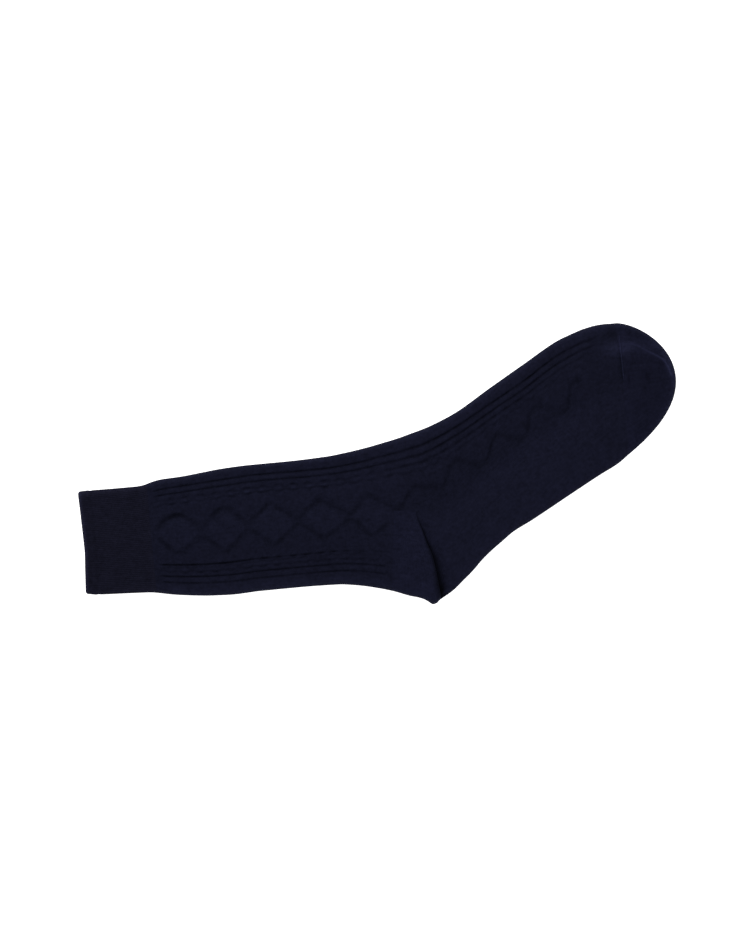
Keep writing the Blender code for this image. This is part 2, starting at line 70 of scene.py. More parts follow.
# The slack of the lying cloth: wide waves, small bulges and crinkles, and where they start.
# A wave has its share of the height, and the lengths in mm over which it turns along and across.
Wave = namedtuple("Wave", "share along across start")
WAVES = [Wave(1.0, 23.0, 31.0, 0.0), Wave(0.7, 13.7, -19.0, 1.3), Wave(0.5, -37.0, 11.0, 0.6)]
WAVE_RISE = 0.00022
BULGE_RISE = 0.0004
BULGE_SIZE = 0.009
CRINKLE_RISE = 0.0002
CRINKLE_SIZE = 0.0043
SLACK_RUN = 0.012

# Relief of the knitting, and the painted shade down in it: darker where sunk, lighter where raised
RIB_DEPTH = 0.0004
GROOVE_DEPTH = 0.0009
GROOVE_HALF = 0.00066
SWELL = 0.00012
SWELL_ASIDE = 0.0019
SWELL_HALF = 0.0011
LINE_DEPTH = 0.00066
LINE_HALF = 0.0019
UNDER_SHARE = 0.7
GROOVE_SHADE = 0.34
SHADE_LIMITS = (-0.6, 1.5)

# A cable's two sunk lines lie beside its middle, part round each eye and are deepest there
CABLE_DEPTH = 0.0010
CABLE_ASIDE = 0.0011
CABLE_PARTING = 0.0011
CABLE_LINE_HALF = 0.0008
CABLE_FAINT_SIDE = 0.9
CABLE_BETWEEN = 0.35
CABLE_AT_EYE = 0.5
KNOT_RISE = 0.0003
KNOT_HALF = 0.0007

# The cuff, in shares of its length: the turned welt, the line that ends it, and the mouth
CUFF_STEP = 0.02
WELT_ENDS = (0.150, 0.165)
WELT_RISE = 0.0002
WELT_LINE = 0.172
WELT_LINE_DEPTH = 0.0003
WELT_LINE_HALF = 0.0006
MOUTH_ROUND = 0.0009
BOW_FADES = 0.6

# The heel's lip, and the sole that starts under it
LIP_RISE = 0.0012
LIP_RUN = 0.016
LIP_ROUND = 0.0011
LIP_SINKS = 0.6
TUCK = 0.006
FOLD_RUN = 0.014
FOLD_GROWS = 0.15
FOLD_FADES = (0.976, 0.999)
TUCK_GROWS = (0.105, 0.17)
TUCK_FADES = (0.90, 0.97)
VALLEY_DEPTH = 0.0016
VALLEY_RUN = 0.0045
VALLEY_ASIDE = 0.001

# The painted shade along the crease under the lip: half its width, its even floor, and how dark it is
# painted on each side
CREASE_SHADE_HALF = 0.0014
CREASE_SHADE_WIDENS = 0.0026
CREASE_SHADE_FLOOR = 0.0012
CREASE_SHADE_ON_HEEL = 0.55
CREASE_SHADE_ON_SOLE = 0.60
CREASE_SHADE_AT_OUTLINE = 0.35

# The linked seam at the toe, and the shallow bed that it lies in
SEAM_WIDTH = 0.0015
SEAM_RISE = 0.0005
BED_DEPTH = 0.0004
BED_HALF = 0.0007
BED_SHADE = 0.16

# Stitches: one wale is a column of stitches, one course a row of them. Real combed cotton
# has about 1.0 x 0.8 mm here; they are drawn a little coarser so that they show.
WALE = 0.00127
COURSE = 0.00100
STITCH_BUMP = 0.0003
DIAMOND_LENGTH = 0.0341

# Pattern counts. The cuff's ribs go in pairs, so that every second groove is deeper.
CUFF_RIBS = 60
COLUMNS_IN_RIB = 6
DIAMOND_ROWS = 6
LEG_DIAMONDS = 5

# Places across the flat sock, as shares from the instep edge to the back edge
HEEL_CORNER = 0.455
PATTERN_MIDDLE = 0.475
FRONT_CABLE = 0.208
BACK_CABLE = 0.783

# A cable's eyes: the first row that has one, and the rows between them
CABLE_START = 4.1
CABLE_ROWS = 1.93
ROW_LENGTH = DIAMOND_LENGTH / DIAMOND_ROWS

# The front cable's eyes with a strong painted highlight, and how strong the painted highlight is on them
# and on the other eyes
LIT_EYES = (4.1, 11.7, 13.5, 19.5, 21.6)
EYE_PAINTED_HIGHLIGHT = 0.5
DIM_EYES = 0.2
LIT_ROWS = 0.6

# How much lighter the plain parts and the diamonds' insides are than the rest of the patterned cloth,
# and darker where below 0; the last two are painted highlights in bands along the back and instep edges
HEEL_LIGHT = 0.12
SOLE_LIGHT = 0.18
TOE_LIGHT = -0.08
INSTEP_LIGHT = -0.07
DIAMOND_LIGHT = 0.10
BACK_EDGE_PAINTED_HIGHLIGHT = 0.22
INSTEP_EDGE_PAINTED_HIGHLIGHT = 0.20

# Painted highlight beside the outline, where fibres would catch the light: all round,
# at the mouth, and what the back edge and the toe end have more. It is speckled at random.
RIM_PAINTED_HIGHLIGHT = 0.22
MOUTH_PAINTED_HIGHLIGHT = 1.0
MOUTH_HIGHLIGHT_HALF = 0.0012
BACK_RIM_MORE = 0.35
TOE_RIM_MORE = 1.6
TOE_RIM_GROWS = (0.3, 0.9)
RIM_ASIDE = 0.001
RIM_REACH = 0.0024
RIM_REACH_MORE = 0.0016
RIM_SPECKLE_SIZE = 0.0013
RIM_SPECKLE_LEAST = 0.3
RIM_SPECKLE_MORE = 1.4

# How much the painted shade between the stitches, and the patches of dye, the blotches and the streaks,
# change the yarn's brightness, and how large the patches, blotches and streaks are: in metres, and for
# the streaks in wales
STITCH_SHADE_CONTRAST = 0.5
PATCH_CONTRAST = 0.55
PATCH_SIZE = 0.0065
BLOTCH_CONTRAST = 0.9
BLOTCH_SIZE = 0.0021
STREAK_CONTRAST = 0.7
STREAK_SIZE = 1.3
STREAK_STRETCH = (1.0, 0.22, 1.0)

# A toe pocket is cut round, so it has this share of its width times its length
TOE_ROUND_TOP = 1.5
TOE_ROUND_SOLE = 1.0

# Low folds of the toe, which gather at its seam, and painted light and shade that follow them.
# x, y: where each lies; wide, long: half its size along X and Y; rise: height; light: painted light,
# painted shade where below 0.
Pucker = namedtuple("Pucker", "x y wide long rise light")
PUCKERS = [
    Pucker(0.1420, 0.1150, 0.0032, 0.0045, -0.0004, -0.30),
    Pucker(0.1445, 0.1032, 0.0105, 0.0045, 0.0003, 0.92),
    Pucker(0.1540, 0.1050, 0.0050, 0.0030, 0.0002, 0.30),
    Pucker(0.1500, 0.0880, 0.0100, 0.0080, 0.0, -0.10),
    Pucker(0.1500, 0.0800, 0.0011, 0.0055, -0.0004, -0.34),
    Pucker(0.1639, 0.0801, 0.0018, 0.0040, -0.0004, -0.30),
    Pucker(0.1613, 0.0734, 0.0014, 0.0014, -0.0002, -0.34),
    Pucker(0.1690, 0.1020, 0.0080, 0.0040, 0.0, 0.40),
    Pucker(0.1800, 0.0880, 0.0035, 0.0070, 0.0, 0.40),
    Pucker(0.1820, 0.0780, 0.0030, 0.0050, 0.0, 0.40),
]

# The toe's one ridge runs through these places, and has a painted highlight along it
TOE_RIDGE = [
    (0.1535, 0.1062),
    (0.1602, 0.1027),
    (0.1661, 0.0990),
    (0.1721, 0.0952),
    (0.1762, 0.0921),
    (0.1788, 0.0876),
    (0.1809, 0.0806),
]
FOLDS_BEFORE_SEAM = 0.02
RIDGE_RISE = 0.0005
RIDGE_HALF = 0.0007
RIDGE_PAINTED_HIGHLIGHT = 1.35

# What changes along the sock: from which row to which, and by how much
Change = namedtuple("Change", "low high by")
FRONT_RIBS = [Change(29, 36, 0.15), Change(50, 61, -0.45)]
FOOT_RIB = [Change(50, 58, -0.6)]
DASHED_RIB = [Change(15, 29, -0.55)]
DASHES = [Change(8, 16, 0.65)]
CABLE = [Change(6, 12, 0.25), Change(19, 26, -0.3), Change(28, 36, -0.15), Change(48, 57, -0.4)]
CABLE_AT_CUFF = 0.75
DIAMOND_LINES = [Change(30, 36, -0.15)]

# Rows over which parts of the pattern start or end, and shares across that bound the edges
PATTERN_STARTS = (-0.35, 0.35)
PATTERN_ENDS = (60.2, 61.6)
FOOT_RIB_STARTS = (26, 32)
BACK_RIBS_END = (29.0, 30.0)
BACK_CABLE_ENDS = (26.0, 29.5)
BACK_EDGE_STARTS = (-1, 2)
BACK_EDGE = (0.905, 0.95)
INSTEP_EDGE_STARTS = (26, 36)
INSTEP_RIM = (0.05, 0.085)
SOLE_STARTS = (0.0, 0.02)

# The back cable is weaker than the front one, and its eyes come earlier; so do the dashes
BACK_CABLE_SHARE = 0.8
BACK_CABLE_AHEAD = 1.0
DASHES_AHEAD = 0.7

# How unevenly the relief is sunk: the least share, what may be added, and the patches
BLOTCHY = (0.62, 0.76, 0.0033)
STEADY = (0.75, 0.5, 0.005)

# The photograph's view: how the leg lies in it, and what the camera looks at
PHOTO_WIDTH, PHOTO_HEIGHT = 750, 937
MM_PER_PIXEL = 0.7207
LEG_TILT = math.radians(5.4)
ANKLE_PIXEL = (430.86, 510.12)
LENS = 85
SENSOR = 36

# The studio: a white table just under the sock, light from all round, and a softbox
TABLE_SIDE = 40.0
TABLE_GAP = 0.0002
TABLE_GLOW = 0.95
ROOM_LIGHT = 0.75
SOFTBOX_SIZE = (0.9, 0.6)
SOFTBOX_WATTS = 9
SOFTBOX_PLACE = (-0.25, 0.75, 0.9)
SOFTBOX_AIM = (-0.03, 0.03, 0.0)

Outline = namedtuple("Outline", "along front back")
CUFF_OUTLINE = [
    Outline(0.00, 0.488, 0.484),
    Outline(0.16, 0.491, 0.501),
    Outline(0.50, 0.488, 0.513),
    Outline(0.84, 0.487, 0.525),
    Outline(0.93, 0.492, 0.530),
]
# The mouth isn't quite straight: how far inward it lies at shares across the cuff, in metres
MOUTH_SHARES = (0.0, 0.25, 0.55, 0.80, 1.0)
MOUTH_BOW = (0.0, 0.0007, 0.0013, 0.0, -0.0011)

LEG_OUTLINE = [
    Outline(0.020, 0.433, 0.458),
    Outline(0.050, 0.444, 0.472),
    Outline(0.124, 0.452, 0.496),
    Outline(0.198, 0.468, 0.512),
    Outline(0.273, 0.484, 0.519),
    Outline(0.372, 0.492, 0.511),
    Outline(0.500, 0.492, 0.511),
    Outline(0.644, 0.501, 0.518),
    Outline(0.719, 0.518, 0.541),
    Outline(0.793, 0.542, 0.580),
    Outline(0.843, 0.563, 0.614),
]
Edge = namedtuple("Edge", "along out")
HEEL_EDGE = [
    Edge(0.892, 0.657),
    Edge(0.942, 0.693),
    Edge(0.962, 0.722),
    Edge(0.976, 0.745),
    Edge(0.990, 0.738),
    Edge(1.000, 0.718),
]
INSTEP_EDGE = [
    Edge(0.042, 0.579),
    Edge(0.083, 0.552),
    Edge(0.125, 0.525),
    Edge(0.167, 0.506),
    Edge(0.229, 0.489),
    Edge(0.354, 0.493),
    Edge(0.479, 0.494),
    Edge(0.604, 0.492),
    Edge(0.646, 0.475),
    Edge(0.688, 0.453),
    Edge(0.729, 0.417),
    Edge(0.745, 0.397),
    Edge(0.776, 0.352),
]
SOLE_EDGE = [
    Edge(-0.115, 0.585),
    Edge(-0.083, 0.584),
    Edge(-0.042, 0.567),
    Edge(0.000, 0.548),
    Edge(0.042, 0.521),
    Edge(0.083, 0.504),
    Edge(0.125, 0.493),
    Edge(0.167, 0.483),
    Edge(0.229, 0.492),
    Edge(0.354, 0.499),
    Edge(0.479, 0.507),
    Edge(0.542, 0.515),
    Edge(0.604, 0.497),
]
TOE_TIP = Edge(0.829, -0.228)

# Courses of knitting: where one crosses six lines that run along the sock
Course = namedtuple("Course", "row front cable corner side sole back")
COURSE_LINES = (0.0, 0.30, HEEL_CORNER, 0.60, 0.75, 1.0)
CUFF_ROW = -1.0
ANKLE_ROW = float(DIAMOND_ROWS * LEG_DIAMONDS)
CREASE_ROW = ANKLE_ROW + 3.0
SEAM_ROW = ANKLE_ROW + 34.5
LEG_COURSES = [
    Course(CUFF_ROW, 1.000, 1.000, 1.000, 1.000, 1.000, 1.000),
    Course(0.0, 0.976, 0.976, 0.976, 0.976, 0.976, 0.976),
    Course(ANKLE_ROW / 2, 0.554, 0.554, 0.554, 0.554, 0.554, 0.554),
    Course(ANKLE_ROW, 0.109, 0.119, 0.131, 0.141, 0.151, 0.167),
]
FOOT_COURSES = [
    Course(CREASE_ROW, 0.014, -0.034, -0.078, -0.045, -0.010, 0.011),
    Course(ANKLE_ROW + 6, 0.083, 0.065, 0.043, 0.058, 0.089, 0.117),
    Course(ANKLE_ROW + 12, 0.275, 0.261, 0.244, 0.244, 0.254, 0.275),
    Course(ANKLE_ROW + 24, 0.674, 0.663, 0.661, 0.660, 0.660, 0.660),
    Course(SEAM_ROW, 0.991, 1.000, 1.000, 1.000, 1.000, 1.000),
]

# Grooves that run along the sock. across: share of the flat width; deep: share of the depth.
Groove = namedtuple("Groove", "across deep")
FRONT_GROOVES = [Groove(0.089, 1.00), Groove(0.139, 0.95)]
BACK_GROOVES = [Groove(0.841, 0.95), Groove(0.895, 0.80)]
DASHED_GROOVE = Groove(0.742, 1.40)
FOOT_GROOVE = Groove(0.183, 0.55)

# How far the bands of grooves stray sideways along the sock, as shares of the flat width
Stray = namedtuple("Stray", "row across")
FRONT_STRAY = [
    Stray(0.0, 0.003),
    Stray(4.0, -0.006),
    Stray(9.0, 0.0),
    Stray(14.0, -0.004),
    Stray(24.0, 0.006),
    Stray(30.0, 0.0),
    Stray(38.0, -0.002),
    Stray(43.0, 0.010),
    Stray(48.0, 0.018),
    Stray(53.0, 0.009),
    Stray(58.0, 0.0),
]
BACK_STRAY = [Stray(0.0, 0.0), Stray(16.0, 0.001), Stray(30.0, -0.006)]

# The two sunk lines that draw the diamonds: where each turns, and how deep it is there.
# Past the ankle the lower line is gone, and the upper one goes on as a zigzag to the toe.
Turn = namedtuple("Turn", "row across deep")
UPPER_LINE = [
    Turn(-0.2, 0.440, 1.0),
    Turn(1.3, 0.345, 1.6),
    Turn(2.9, 0.318, 2.4),
    Turn(4.0, 0.345, 1.1),
    Turn(5.7, 0.475, 0.7),
    Turn(7.9, 0.322, 1.4),
    Turn(9.3, 0.320, 1.5),
    Turn(11.6, 0.472, 0.8),
    Turn(14.5, 0.310, 1.2),
    Turn(17.9, 0.476, 0.9),
    Turn(20.5, 0.325, 1.3),
    Turn(24.5, 0.476, 1.0),
    Turn(26.6, 0.330, 1.1),
    Turn(30.0, 0.446, 0.8),
    Turn(31.2, 0.432, 1.2),
    Turn(32.0, 0.320, 1.0),
    Turn(33.2, 0.320, 1.0),
    Turn(36.6, 0.388, 1.0),
    Turn(37.5, 0.290, 1.2),
    Turn(38.3, 0.276, 1.1),
    Turn(39.4, 0.310, 1.0),
    Turn(42.4, 0.430, 1.0),
    Turn(43.6, 0.436, 1.2),
    Turn(44.3, 0.335, 1.2),
    Turn(45.1, 0.318, 1.0),
    Turn(48.3, 0.458, 0.9),
    Turn(49.5, 0.466, 1.1),
    Turn(50.0, 0.325, 1.2),
    Turn(51.6, 0.318, 1.0),
    Turn(54.2, 0.460, 0.8),
    Turn(55.8, 0.464, 1.1),
    Turn(56.4, 0.325, 1.1),
    Turn(57.3, 0.310, 1.0),
    Turn(58.6, 0.350, 0.0),
]
LOWER_LINE = [
    Turn(-0.2, 0.500, 1.1),
    Turn(1.9, 0.628, 1.3),
    Turn(3.2, 0.635, 1.2),
    Turn(5.7, 0.495, 0.9),
    Turn(8.5, 0.668, 1.3),
    Turn(11.6, 0.500, 1.0),
    Turn(14.7, 0.656, 1.3),
    Turn(17.9, 0.490, 1.1),
    Turn(21.4, 0.636, 1.3),
    Turn(24.5, 0.492, 1.1),
    Turn(27.6, 0.626, 1.2),
    Turn(29.9, 0.520, 0.8),
]

ALONG_FOOT = np.array((math.cos(FOOT_ANGLE), math.sin(FOOT_ANGLE)))
ACROSS_FOOT = np.array((-math.sin(FOOT_ANGLE), math.cos(FOOT_ANGLE)))


def smooth_curve(knots, values, at):
    """A smooth curve through a table's points that never swings past them."""
    knots, values, at = np.asarray(knots, float), np.asarray(values, float), np.asarray(at, float)
    at = np.clip(at, knots[0], knots[-1])
    more = (1,) * (values.ndim - 1)
    steps = np.diff(knots)
    slopes = np.diff(values, axis=0) / steps.reshape(-1, *more)
    ends = np.zeros(values.shape)
    ends[0], ends[-1] = slopes[0], slopes[-1]
    same_way = slopes[:-1] * slopes[1:] > 0
    total = np.where(same_way, slopes[:-1] + slopes[1:], 1.0)
    ends[1:-1] = np.where(same_way, 2 * slopes[:-1] * slopes[1:] / total, 0.0)
    k = np.clip(np.searchsorted(knots, at, side="right") - 1, 0, len(steps) - 1)
    t = ((at - knots[k]) / steps[k]).reshape(*at.shape, *more)
    step = steps[k].reshape(*at.shape, *more)
    start, finish = values[k], values[k + 1]
    bend = step * (ends[k] * t * (1 - t) ** 2 - ends[k + 1] * t**2 * (1 - t))
    return start + (finish - start) * t * t * (3 - 2 * t) + bend


def ease(low, high, at):
    """0 up to low, 1 from high on, and a smooth rise between."""
    t = np.clip((np.asarray(at, float) - low) / (high - low), 0, 1)
    return t * t * (3 - 2 * t)


def bell(distance, half):
    """1 at no distance, falling smoothly to nearly nothing at twice half."""
    return np.exp(-((distance / half) ** 2))


def on_foot(along, across):
    """A place on the foot, given in foot lengths and foot widths, as (x, y)."""
    return along * FOOT_LENGTH * ALONG_FOOT + across * FOOT_WIDTH * ACROSS_FOOT


def edge_points(side):
    """Points along the instep edge (side 1) or the back and sole edge (side -1), as (x, y)."""
    points = []
    for row in CUFF_OUTLINE:
        out = row.front if side > 0 else row.back
        points.append((row.along * CUFF_LENGTH - LEG_LENGTH, side * out * CUFF_WIDTH))
    for row in LEG_OUTLINE:
        out = row.front if side > 0 else row.back
        points.append(((row.along - 1) * LEG_BODY, side * out * LEG_WIDTH))
    if side < 0:
        for row in HEEL_EDGE:
            points.append(((row.along - 1) * LEG_BODY, -row.out * LEG_WIDTH))
    for row in INSTEP_EDGE if side > 0 else SOLE_EDGE:
        points.append(tuple(on_foot(row.along, side * row.out)))
    return np.array(points)


FRONT_POINTS = edge_points(1)
BACK_POINTS = edge_points(-1)
TIP = on_foot(*TOE_TIP) + np.array((TOE_BULGE, 0))
SEAM_X = TIP[0] - TOE_LENGTH


def edge_y(x, side):
    """How far out the flat sock reaches at x, on one side."""
    points, roundness = (FRONT_POINTS, TOE_ROUND_TOP) if side > 0 else (BACK_POINTS, TOE_ROUND_SOLE)
    body = smooth_curve(points[:, 0], points[:, 1], np.minimum(x, SEAM_X))
    share = np.clip((x - SEAM_X) / TOE_LENGTH, 0, 1)
    return TIP[1] + (body - TIP[1]) * np.sqrt(1 - share**roundness)


def outline():
    """The outline of the flat sock as a chain of points, from mouth to mouth."""
    beyond_mouth = 0.002
    straight = np.linspace(-LEG_LENGTH - beyond_mouth, SEAM_X, 420)
    round_end = SEAM_X + TOE_LENGTH * np.sin(np.linspace(0, math.pi / 2, 120)[1:])
    x = np.concatenate([straight, round_end])
    front = np.stack([x, edge_y(x, 1)], axis=1)
    back = np.stack([x, edge_y(x, -1)], axis=1)
    return np.concatenate([front, back[-2::-1]])


OUTLINE = outline()


def from_outline(points):
    """Each point's distance to the outline, and the direction in which the outline lies."""
    start, span = OUTLINE[:-1], np.diff(OUTLINE, axis=0)
    length = (span**2).sum(axis=1)
    distance, way = np.empty(len(points)), np.empty((len(points), 2))
    at_once, on_line = 4000, 0.0001
    for first in range(0, len(points), at_once):
        some = points[first : first + at_once]
        offset = some[:, None, :] - start[None]
        share = np.clip((offset * span).sum(axis=2) / length, 0, 1)
        gap = offset - share[..., None] * span
        gaps = (gap**2).sum(axis=2)
        best = gaps.argmin(axis=1)
        rows = np.arange(len(some))
        reach = np.sqrt(gaps[rows, best])
        away = np.stack([-span[best, 1], span[best, 0]], axis=1)
        away /= np.linalg.norm(away, axis=1)[:, None]
        clear = reach > on_line
        away[clear] = -gap[rows, best][clear] / reach[clear][:, None]
        distance[first : first + at_once] = reach
        way[first : first + at_once] = away
    return distance, way


def course_x(rows, across):
    """Where rows of knitting lie at shares across the sock. Rows past the seam count toe lengths."""
    courses = [(c.row, -np.array(c[1:]) * LEG_BODY) for c in LEG_COURSES]
    courses += [(c.row, np.array(c[1:]) * SEAM_X) for c in FOOT_COURSES]
    crossed = smooth_curve([c[0] for c in courses], np.array([c[1] for c in courses]), rows)
    x = smooth_curve(COURSE_LINES, crossed.T, across).T
    past = np.maximum(np.asarray(rows, float) - SEAM_ROW, 0)
    return np.where(past[:, None] > 0, SEAM_X + past[:, None] * TOE_LENGTH, x)


# The only random numbers: one seeded table, which all the unevenness of the cloth is read from
UNEVEN_SIDE = 128
UNEVEN = np.random.default_rng(5).random((UNEVEN_SIDE, UNEVEN_SIDE))


def uneven(x, y, size):
    """Smooth seeded noise over the cloth, from 0 to 1, with patches about size across."""
    u, v = x / size, y / size
    i, j = np.floor(u).astype(int), np.floor(v).astype(int)
    s, t = ease(0, 1, u - i), ease(0, 1, v - j)
    i, j, right, up = (place % UNEVEN_SIDE for place in (i, j, i + 1, j + 1))
    low = UNEVEN[i, j] * (1 - s) + UNEVEN[right, j] * s
    high = UNEVEN[i, up] * (1 - s) + UNEVEN[right, up] * s
    return low * (1 - t) + high * t


def ripple(x, y):
    """The slack of the lying cloth: low, wide waves in its upper face, and small puckers."""
    u, v = x / 0.001, y / 0.001
    waves = sum(w.share * np.sin(u / w.along + v / w.across + w.start) for w in WAVES)
    bulges = BULGE_RISE * (uneven(x, y, BULGE_SIZE) - 0.5)
    return WAVE_RISE * waves + bulges + CRINKLE_RISE * (uneven(y, x, CRINKLE_SIZE) - 0.5)


def toe_folds(x, y):
    """The height, and the painted light and shade, that the toe's ridge and puckers add to its upper
    face.
    """
    rise, light = np.zeros(x.shape), np.zeros(x.shape)
    for pucker in PUCKERS:
        here = bell(x - pucker.x, pucker.wide) * bell(y - pucker.y, pucker.long)
        rise += pucker.rise * here
        light += pucker.light * here
    places = np.linspace(0, 1, 60)
    path = smooth_curve(np.linspace(0, 1, len(TOE_RIDGE)), TOE_RIDGE, places)
    gaps = np.hypot(x[:, None] - path[None, :, 0], y[:, None] - path[None, :, 1])
    share = places[gaps.argmin(axis=1)]
    crest = bell(gaps.min(axis=1), RIDGE_HALF) * ease(0, 0.15, share) * (0.6 + 0.4 * share)
    return rise + RIDGE_RISE * crest, light + RIDGE_PAINTED_HIGHLIGHT * crest


def skin(x, across, top):
    """Points on the smooth outer face, the way out of it at each, and how far in each lies."""
    front, back = edge_y(x, 1), edge_y(x, -1)
    y = front + across * (back - front)
    distance, way = from_outline(np.stack([x, y], axis=1))
    distance[(across <= 0) | (across >= 1)] = 0
    inside = np.minimum(distance / EDGE_RADIUS, 1)
    rise = np.sqrt(1 - (1 - inside) ** 2)
    loft = CUFF_LOFT + (LOFT - CUFF_LOFT) * ease(-LEG_BODY - CUFF_LENGTH / 2, -LEG_BODY / 2, x)
    crown = loft * ease(0, LOFT_RUN, distance - EDGE_RADIUS)
    crown = crown + ripple(x, y) * ease(0, SLACK_RUN, distance - EDGE_RADIUS)
    z = np.where(top, EDGE_RADIUS * (1 + rise) + crown, EDGE_RADIUS * (1 - rise))
    out = (1 - inside)[:, None] * way
    normal = np.column_stack([out, np.where(top, rise, -rise)])
    normal /= np.linalg.norm(normal, axis=1)[:, None]
    return np.column_stack([x, y, z]), normal, distance


def wales(across):
    """How many wales lie between the instep edge and a share across, round the rounded edges."""
    at = np.asarray(across, float) * LEG_WIDTH
    near = np.minimum(at, LEG_WIDTH - at)
    turn = EDGE_RADIUS * np.arccos(np.clip(1 - near / EDGE_RADIUS, 0, 1))
    length = np.where(near < EDGE_RADIUS, turn, EDGE_RADIUS * math.pi / 2 + near - EDGE_RADIUS)
    whole = 2 * (EDGE_RADIUS * math.pi / 2 + LEG_WIDTH / 2 - EDGE_RADIUS)
    return np.where(at > LEG_WIDTH / 2, whole - length, length) / WALE


FACE_WALES = float(wales(1.0))


def columns_on_face(marks, step):
    """Shares from the first mark to the last, about step apart, with every mark among them."""
    shares = []
    for low, high in zip(marks[:-1], marks[1:]):
        count = max(1, round((high - low) * LEG_WIDTH / step))
        shares += list(np.linspace(low, high, count + 1)[1:-1]) + [high]
    return shares


def columns_round(top_step, under_step, tops=(HEEL_CORNER,), unders=(HEEL_CORNER,)):
    """Columns once round the flat tube: each is a share across and whether it is on top.

    tops and unders are shares that must have a column, such as where two pieces meet.
    """
    turns = np.linspace(0, math.pi / 2, EDGE_COLUMNS + 1)
    edge = list(EDGE_RADIUS * (1 - np.cos(turns)) / LEG_WIDTH)
    top = edge + columns_on_face([edge[-1], *tops, 1 - edge[-1]], top_step)
    top += [1 - share for share in reversed(edge[:-1])]
    under = edge[1:] + columns_on_face([edge[-1], *unders, 1 - edge[-1]], under_step)
    under += [1 - share for share in reversed(edge[1:-1])]
    return [(share, True) for share in top] + [(share, False) for share in reversed(under)]


def corner_columns(columns):
    """The columns at the heel's corner, on the upper and on the under face."""
    found = []
    for top in (True, False):
        same = [k for k, column in enumerate(columns) if column[1] == top]
        found.append(min(same, key=lambda k: abs(columns[k][0] - HEEL_CORNER)))
    return found


class Grid:
    """The points of one knitted piece before they are shaped: rows by columns round the sock."""

    def __init__(self, rows, columns):
        self.rows = np.array(rows, float)
        self.share = np.array([share for share, top in columns])
        shape = (len(self.rows), len(self.share))
        self.row = np.broadcast_to(self.rows[:, None], shape)
        self.across = np.broadcast_to(self.share[None], shape)
        self.is_top = np.broadcast_to(np.array([top for share, top in columns])[None], shape)
        self.x = course_x(self.rows, self.share)
        self.corners = corner_columns(columns)
        self.plain_side = slice(*self.corners)

    def cells(self, held):
        """All of its cells, held by the piece or not."""
        return np.full((len(self.rows) - 1, len(self.share)), held)


def kept_lines(count, every, needed):
    """Every few lines of a grid, with the first and the needed ones."""
    return sorted(set(range(0, count, every)) | set(needed) | {0})


def painted_rim_highlight(points, normals, distance, across):
    """The painted highlight beside the outline: speckled, fading on faces that turn downwards, and not
    on the under face.
    """
    on_toe = ease(*TOE_RIM_GROWS, (points[:, 0] - SEAM_X) / TOE_LENGTH)
    speckle = RIM_SPECKLE_LEAST + RIM_SPECKLE_MORE * uneven(points[:, 0], points[:, 1], RIM_SPECKLE_SIZE)
    more = 1 + BACK_RIM_MORE * ease(0.8, 1.0, across) + TOE_RIM_MORE * on_toe
    reach = RIM_REACH + RIM_REACH_MORE * on_toe
    upward = ease(-0.8, 0.0, normals[:, 2])
    return RIM_PAINTED_HIGHLIGHT * more * bell(distance - RIM_ASIDE, reach) * speckle * upward


def cloth_faces(held, number, inner_number, rows, columns):
    """A piece's faces: fine ones outside, coarse ones inside, and the rims between the two.

    rows and columns are the lines of the grid that the inner face has points on.
    """
    across_all = held.shape[1]
    i, j = np.argwhere(held).T
    after = (j + 1) % across_all
    outside = [number[i, after], number[i + 1, after], number[i + 1, j], number[i, j]]
    faces = np.stack(outside, axis=1).tolist()
    places = [(a, b) for a in range(len(rows) - 1) for b in range(len(columns))]
    blocks = {(a, b): True for a, b in places if held[rows[a], columns[b]]}
    for a, b in blocks:
        i0, i1 = rows[a], rows[a + 1]
        j0, j1 = columns[b], columns[(b + 1) % len(columns)]
        faces.append([inner_number[p] for p in ((i0, j0), (i1, j0), (i1, j1), (i0, j1))])
        across = [(j0 + k) % across_all for k in range((j1 - j0) % across_all + 1)]
        along = range(i0, i1 + 1)
        rims = [
            ((a - 1, b), [(i0, c) for c in reversed(across)]),
            ((a + 1, b), [(i1, c) for c in across]),
            ((a, (b - 1) % len(columns)), [(c, j0) for c in along]),
            ((a, (b + 1) % len(columns)), [(c, j1) for c in reversed(along)]),
        ]
        for beside, run in rims:
            if beside in blocks:
                continue
            outer = [number[p] for p in run]
            first, last = inner_number[run[0]], inner_number[run[-1]]
            half = len(outer) // 2
            for k in range(len(outer) - 1):
                faces.append([outer[k], outer[k + 1], first if k < half else last])
            faces.append([outer[half], last, first])
    return faces


def close_tip(faces, vertices, outer_loop, inner_loop):
    """Replaces the rim at the last row by an outer and an inner end."""
    rim = set(outer_loop.tolist()) | set(inner_loop.tolist())
    faces = [face for face in faces if not set(int(v) for v in face) <= rim]
    tip = np.array((TIP[0], TIP[1], EDGE_RADIUS))
    for loop, back, flip in ((outer_loop, 0.0, False), (inner_loop, WALL, True)):
        centre = len(vertices)
        vertices = np.concatenate([vertices, [tip - np.array((back, 0, 0))]])
        for k, point in enumerate(loop):
            after = loop[(k + 1) % len(loop)]
            faces.append([after, point, centre] if flip else [point, after, centre])
    return faces, vertices


def keep_on_points(mesh, name, values):
    """Keeps one number or three for each point of a mesh. Points past the last value get 0."""
    kept = np.zeros((len(mesh.vertices), *values.shape[1:]), np.float32)
    kept[: len(values)] = values
    kind, field = ("FLOAT", "value") if values.ndim == 1 else ("FLOAT_VECTOR", "vector")
    mesh.attributes.new(name, kind, "POINT").data.foreach_set(field, kept.ravel())


def place_object(name, data):
    """Puts an object that shows this data into the scene."""
    placed = bpy.data.objects.new(name, data)
    bpy.context.collection.objects.link(placed)
    return placed


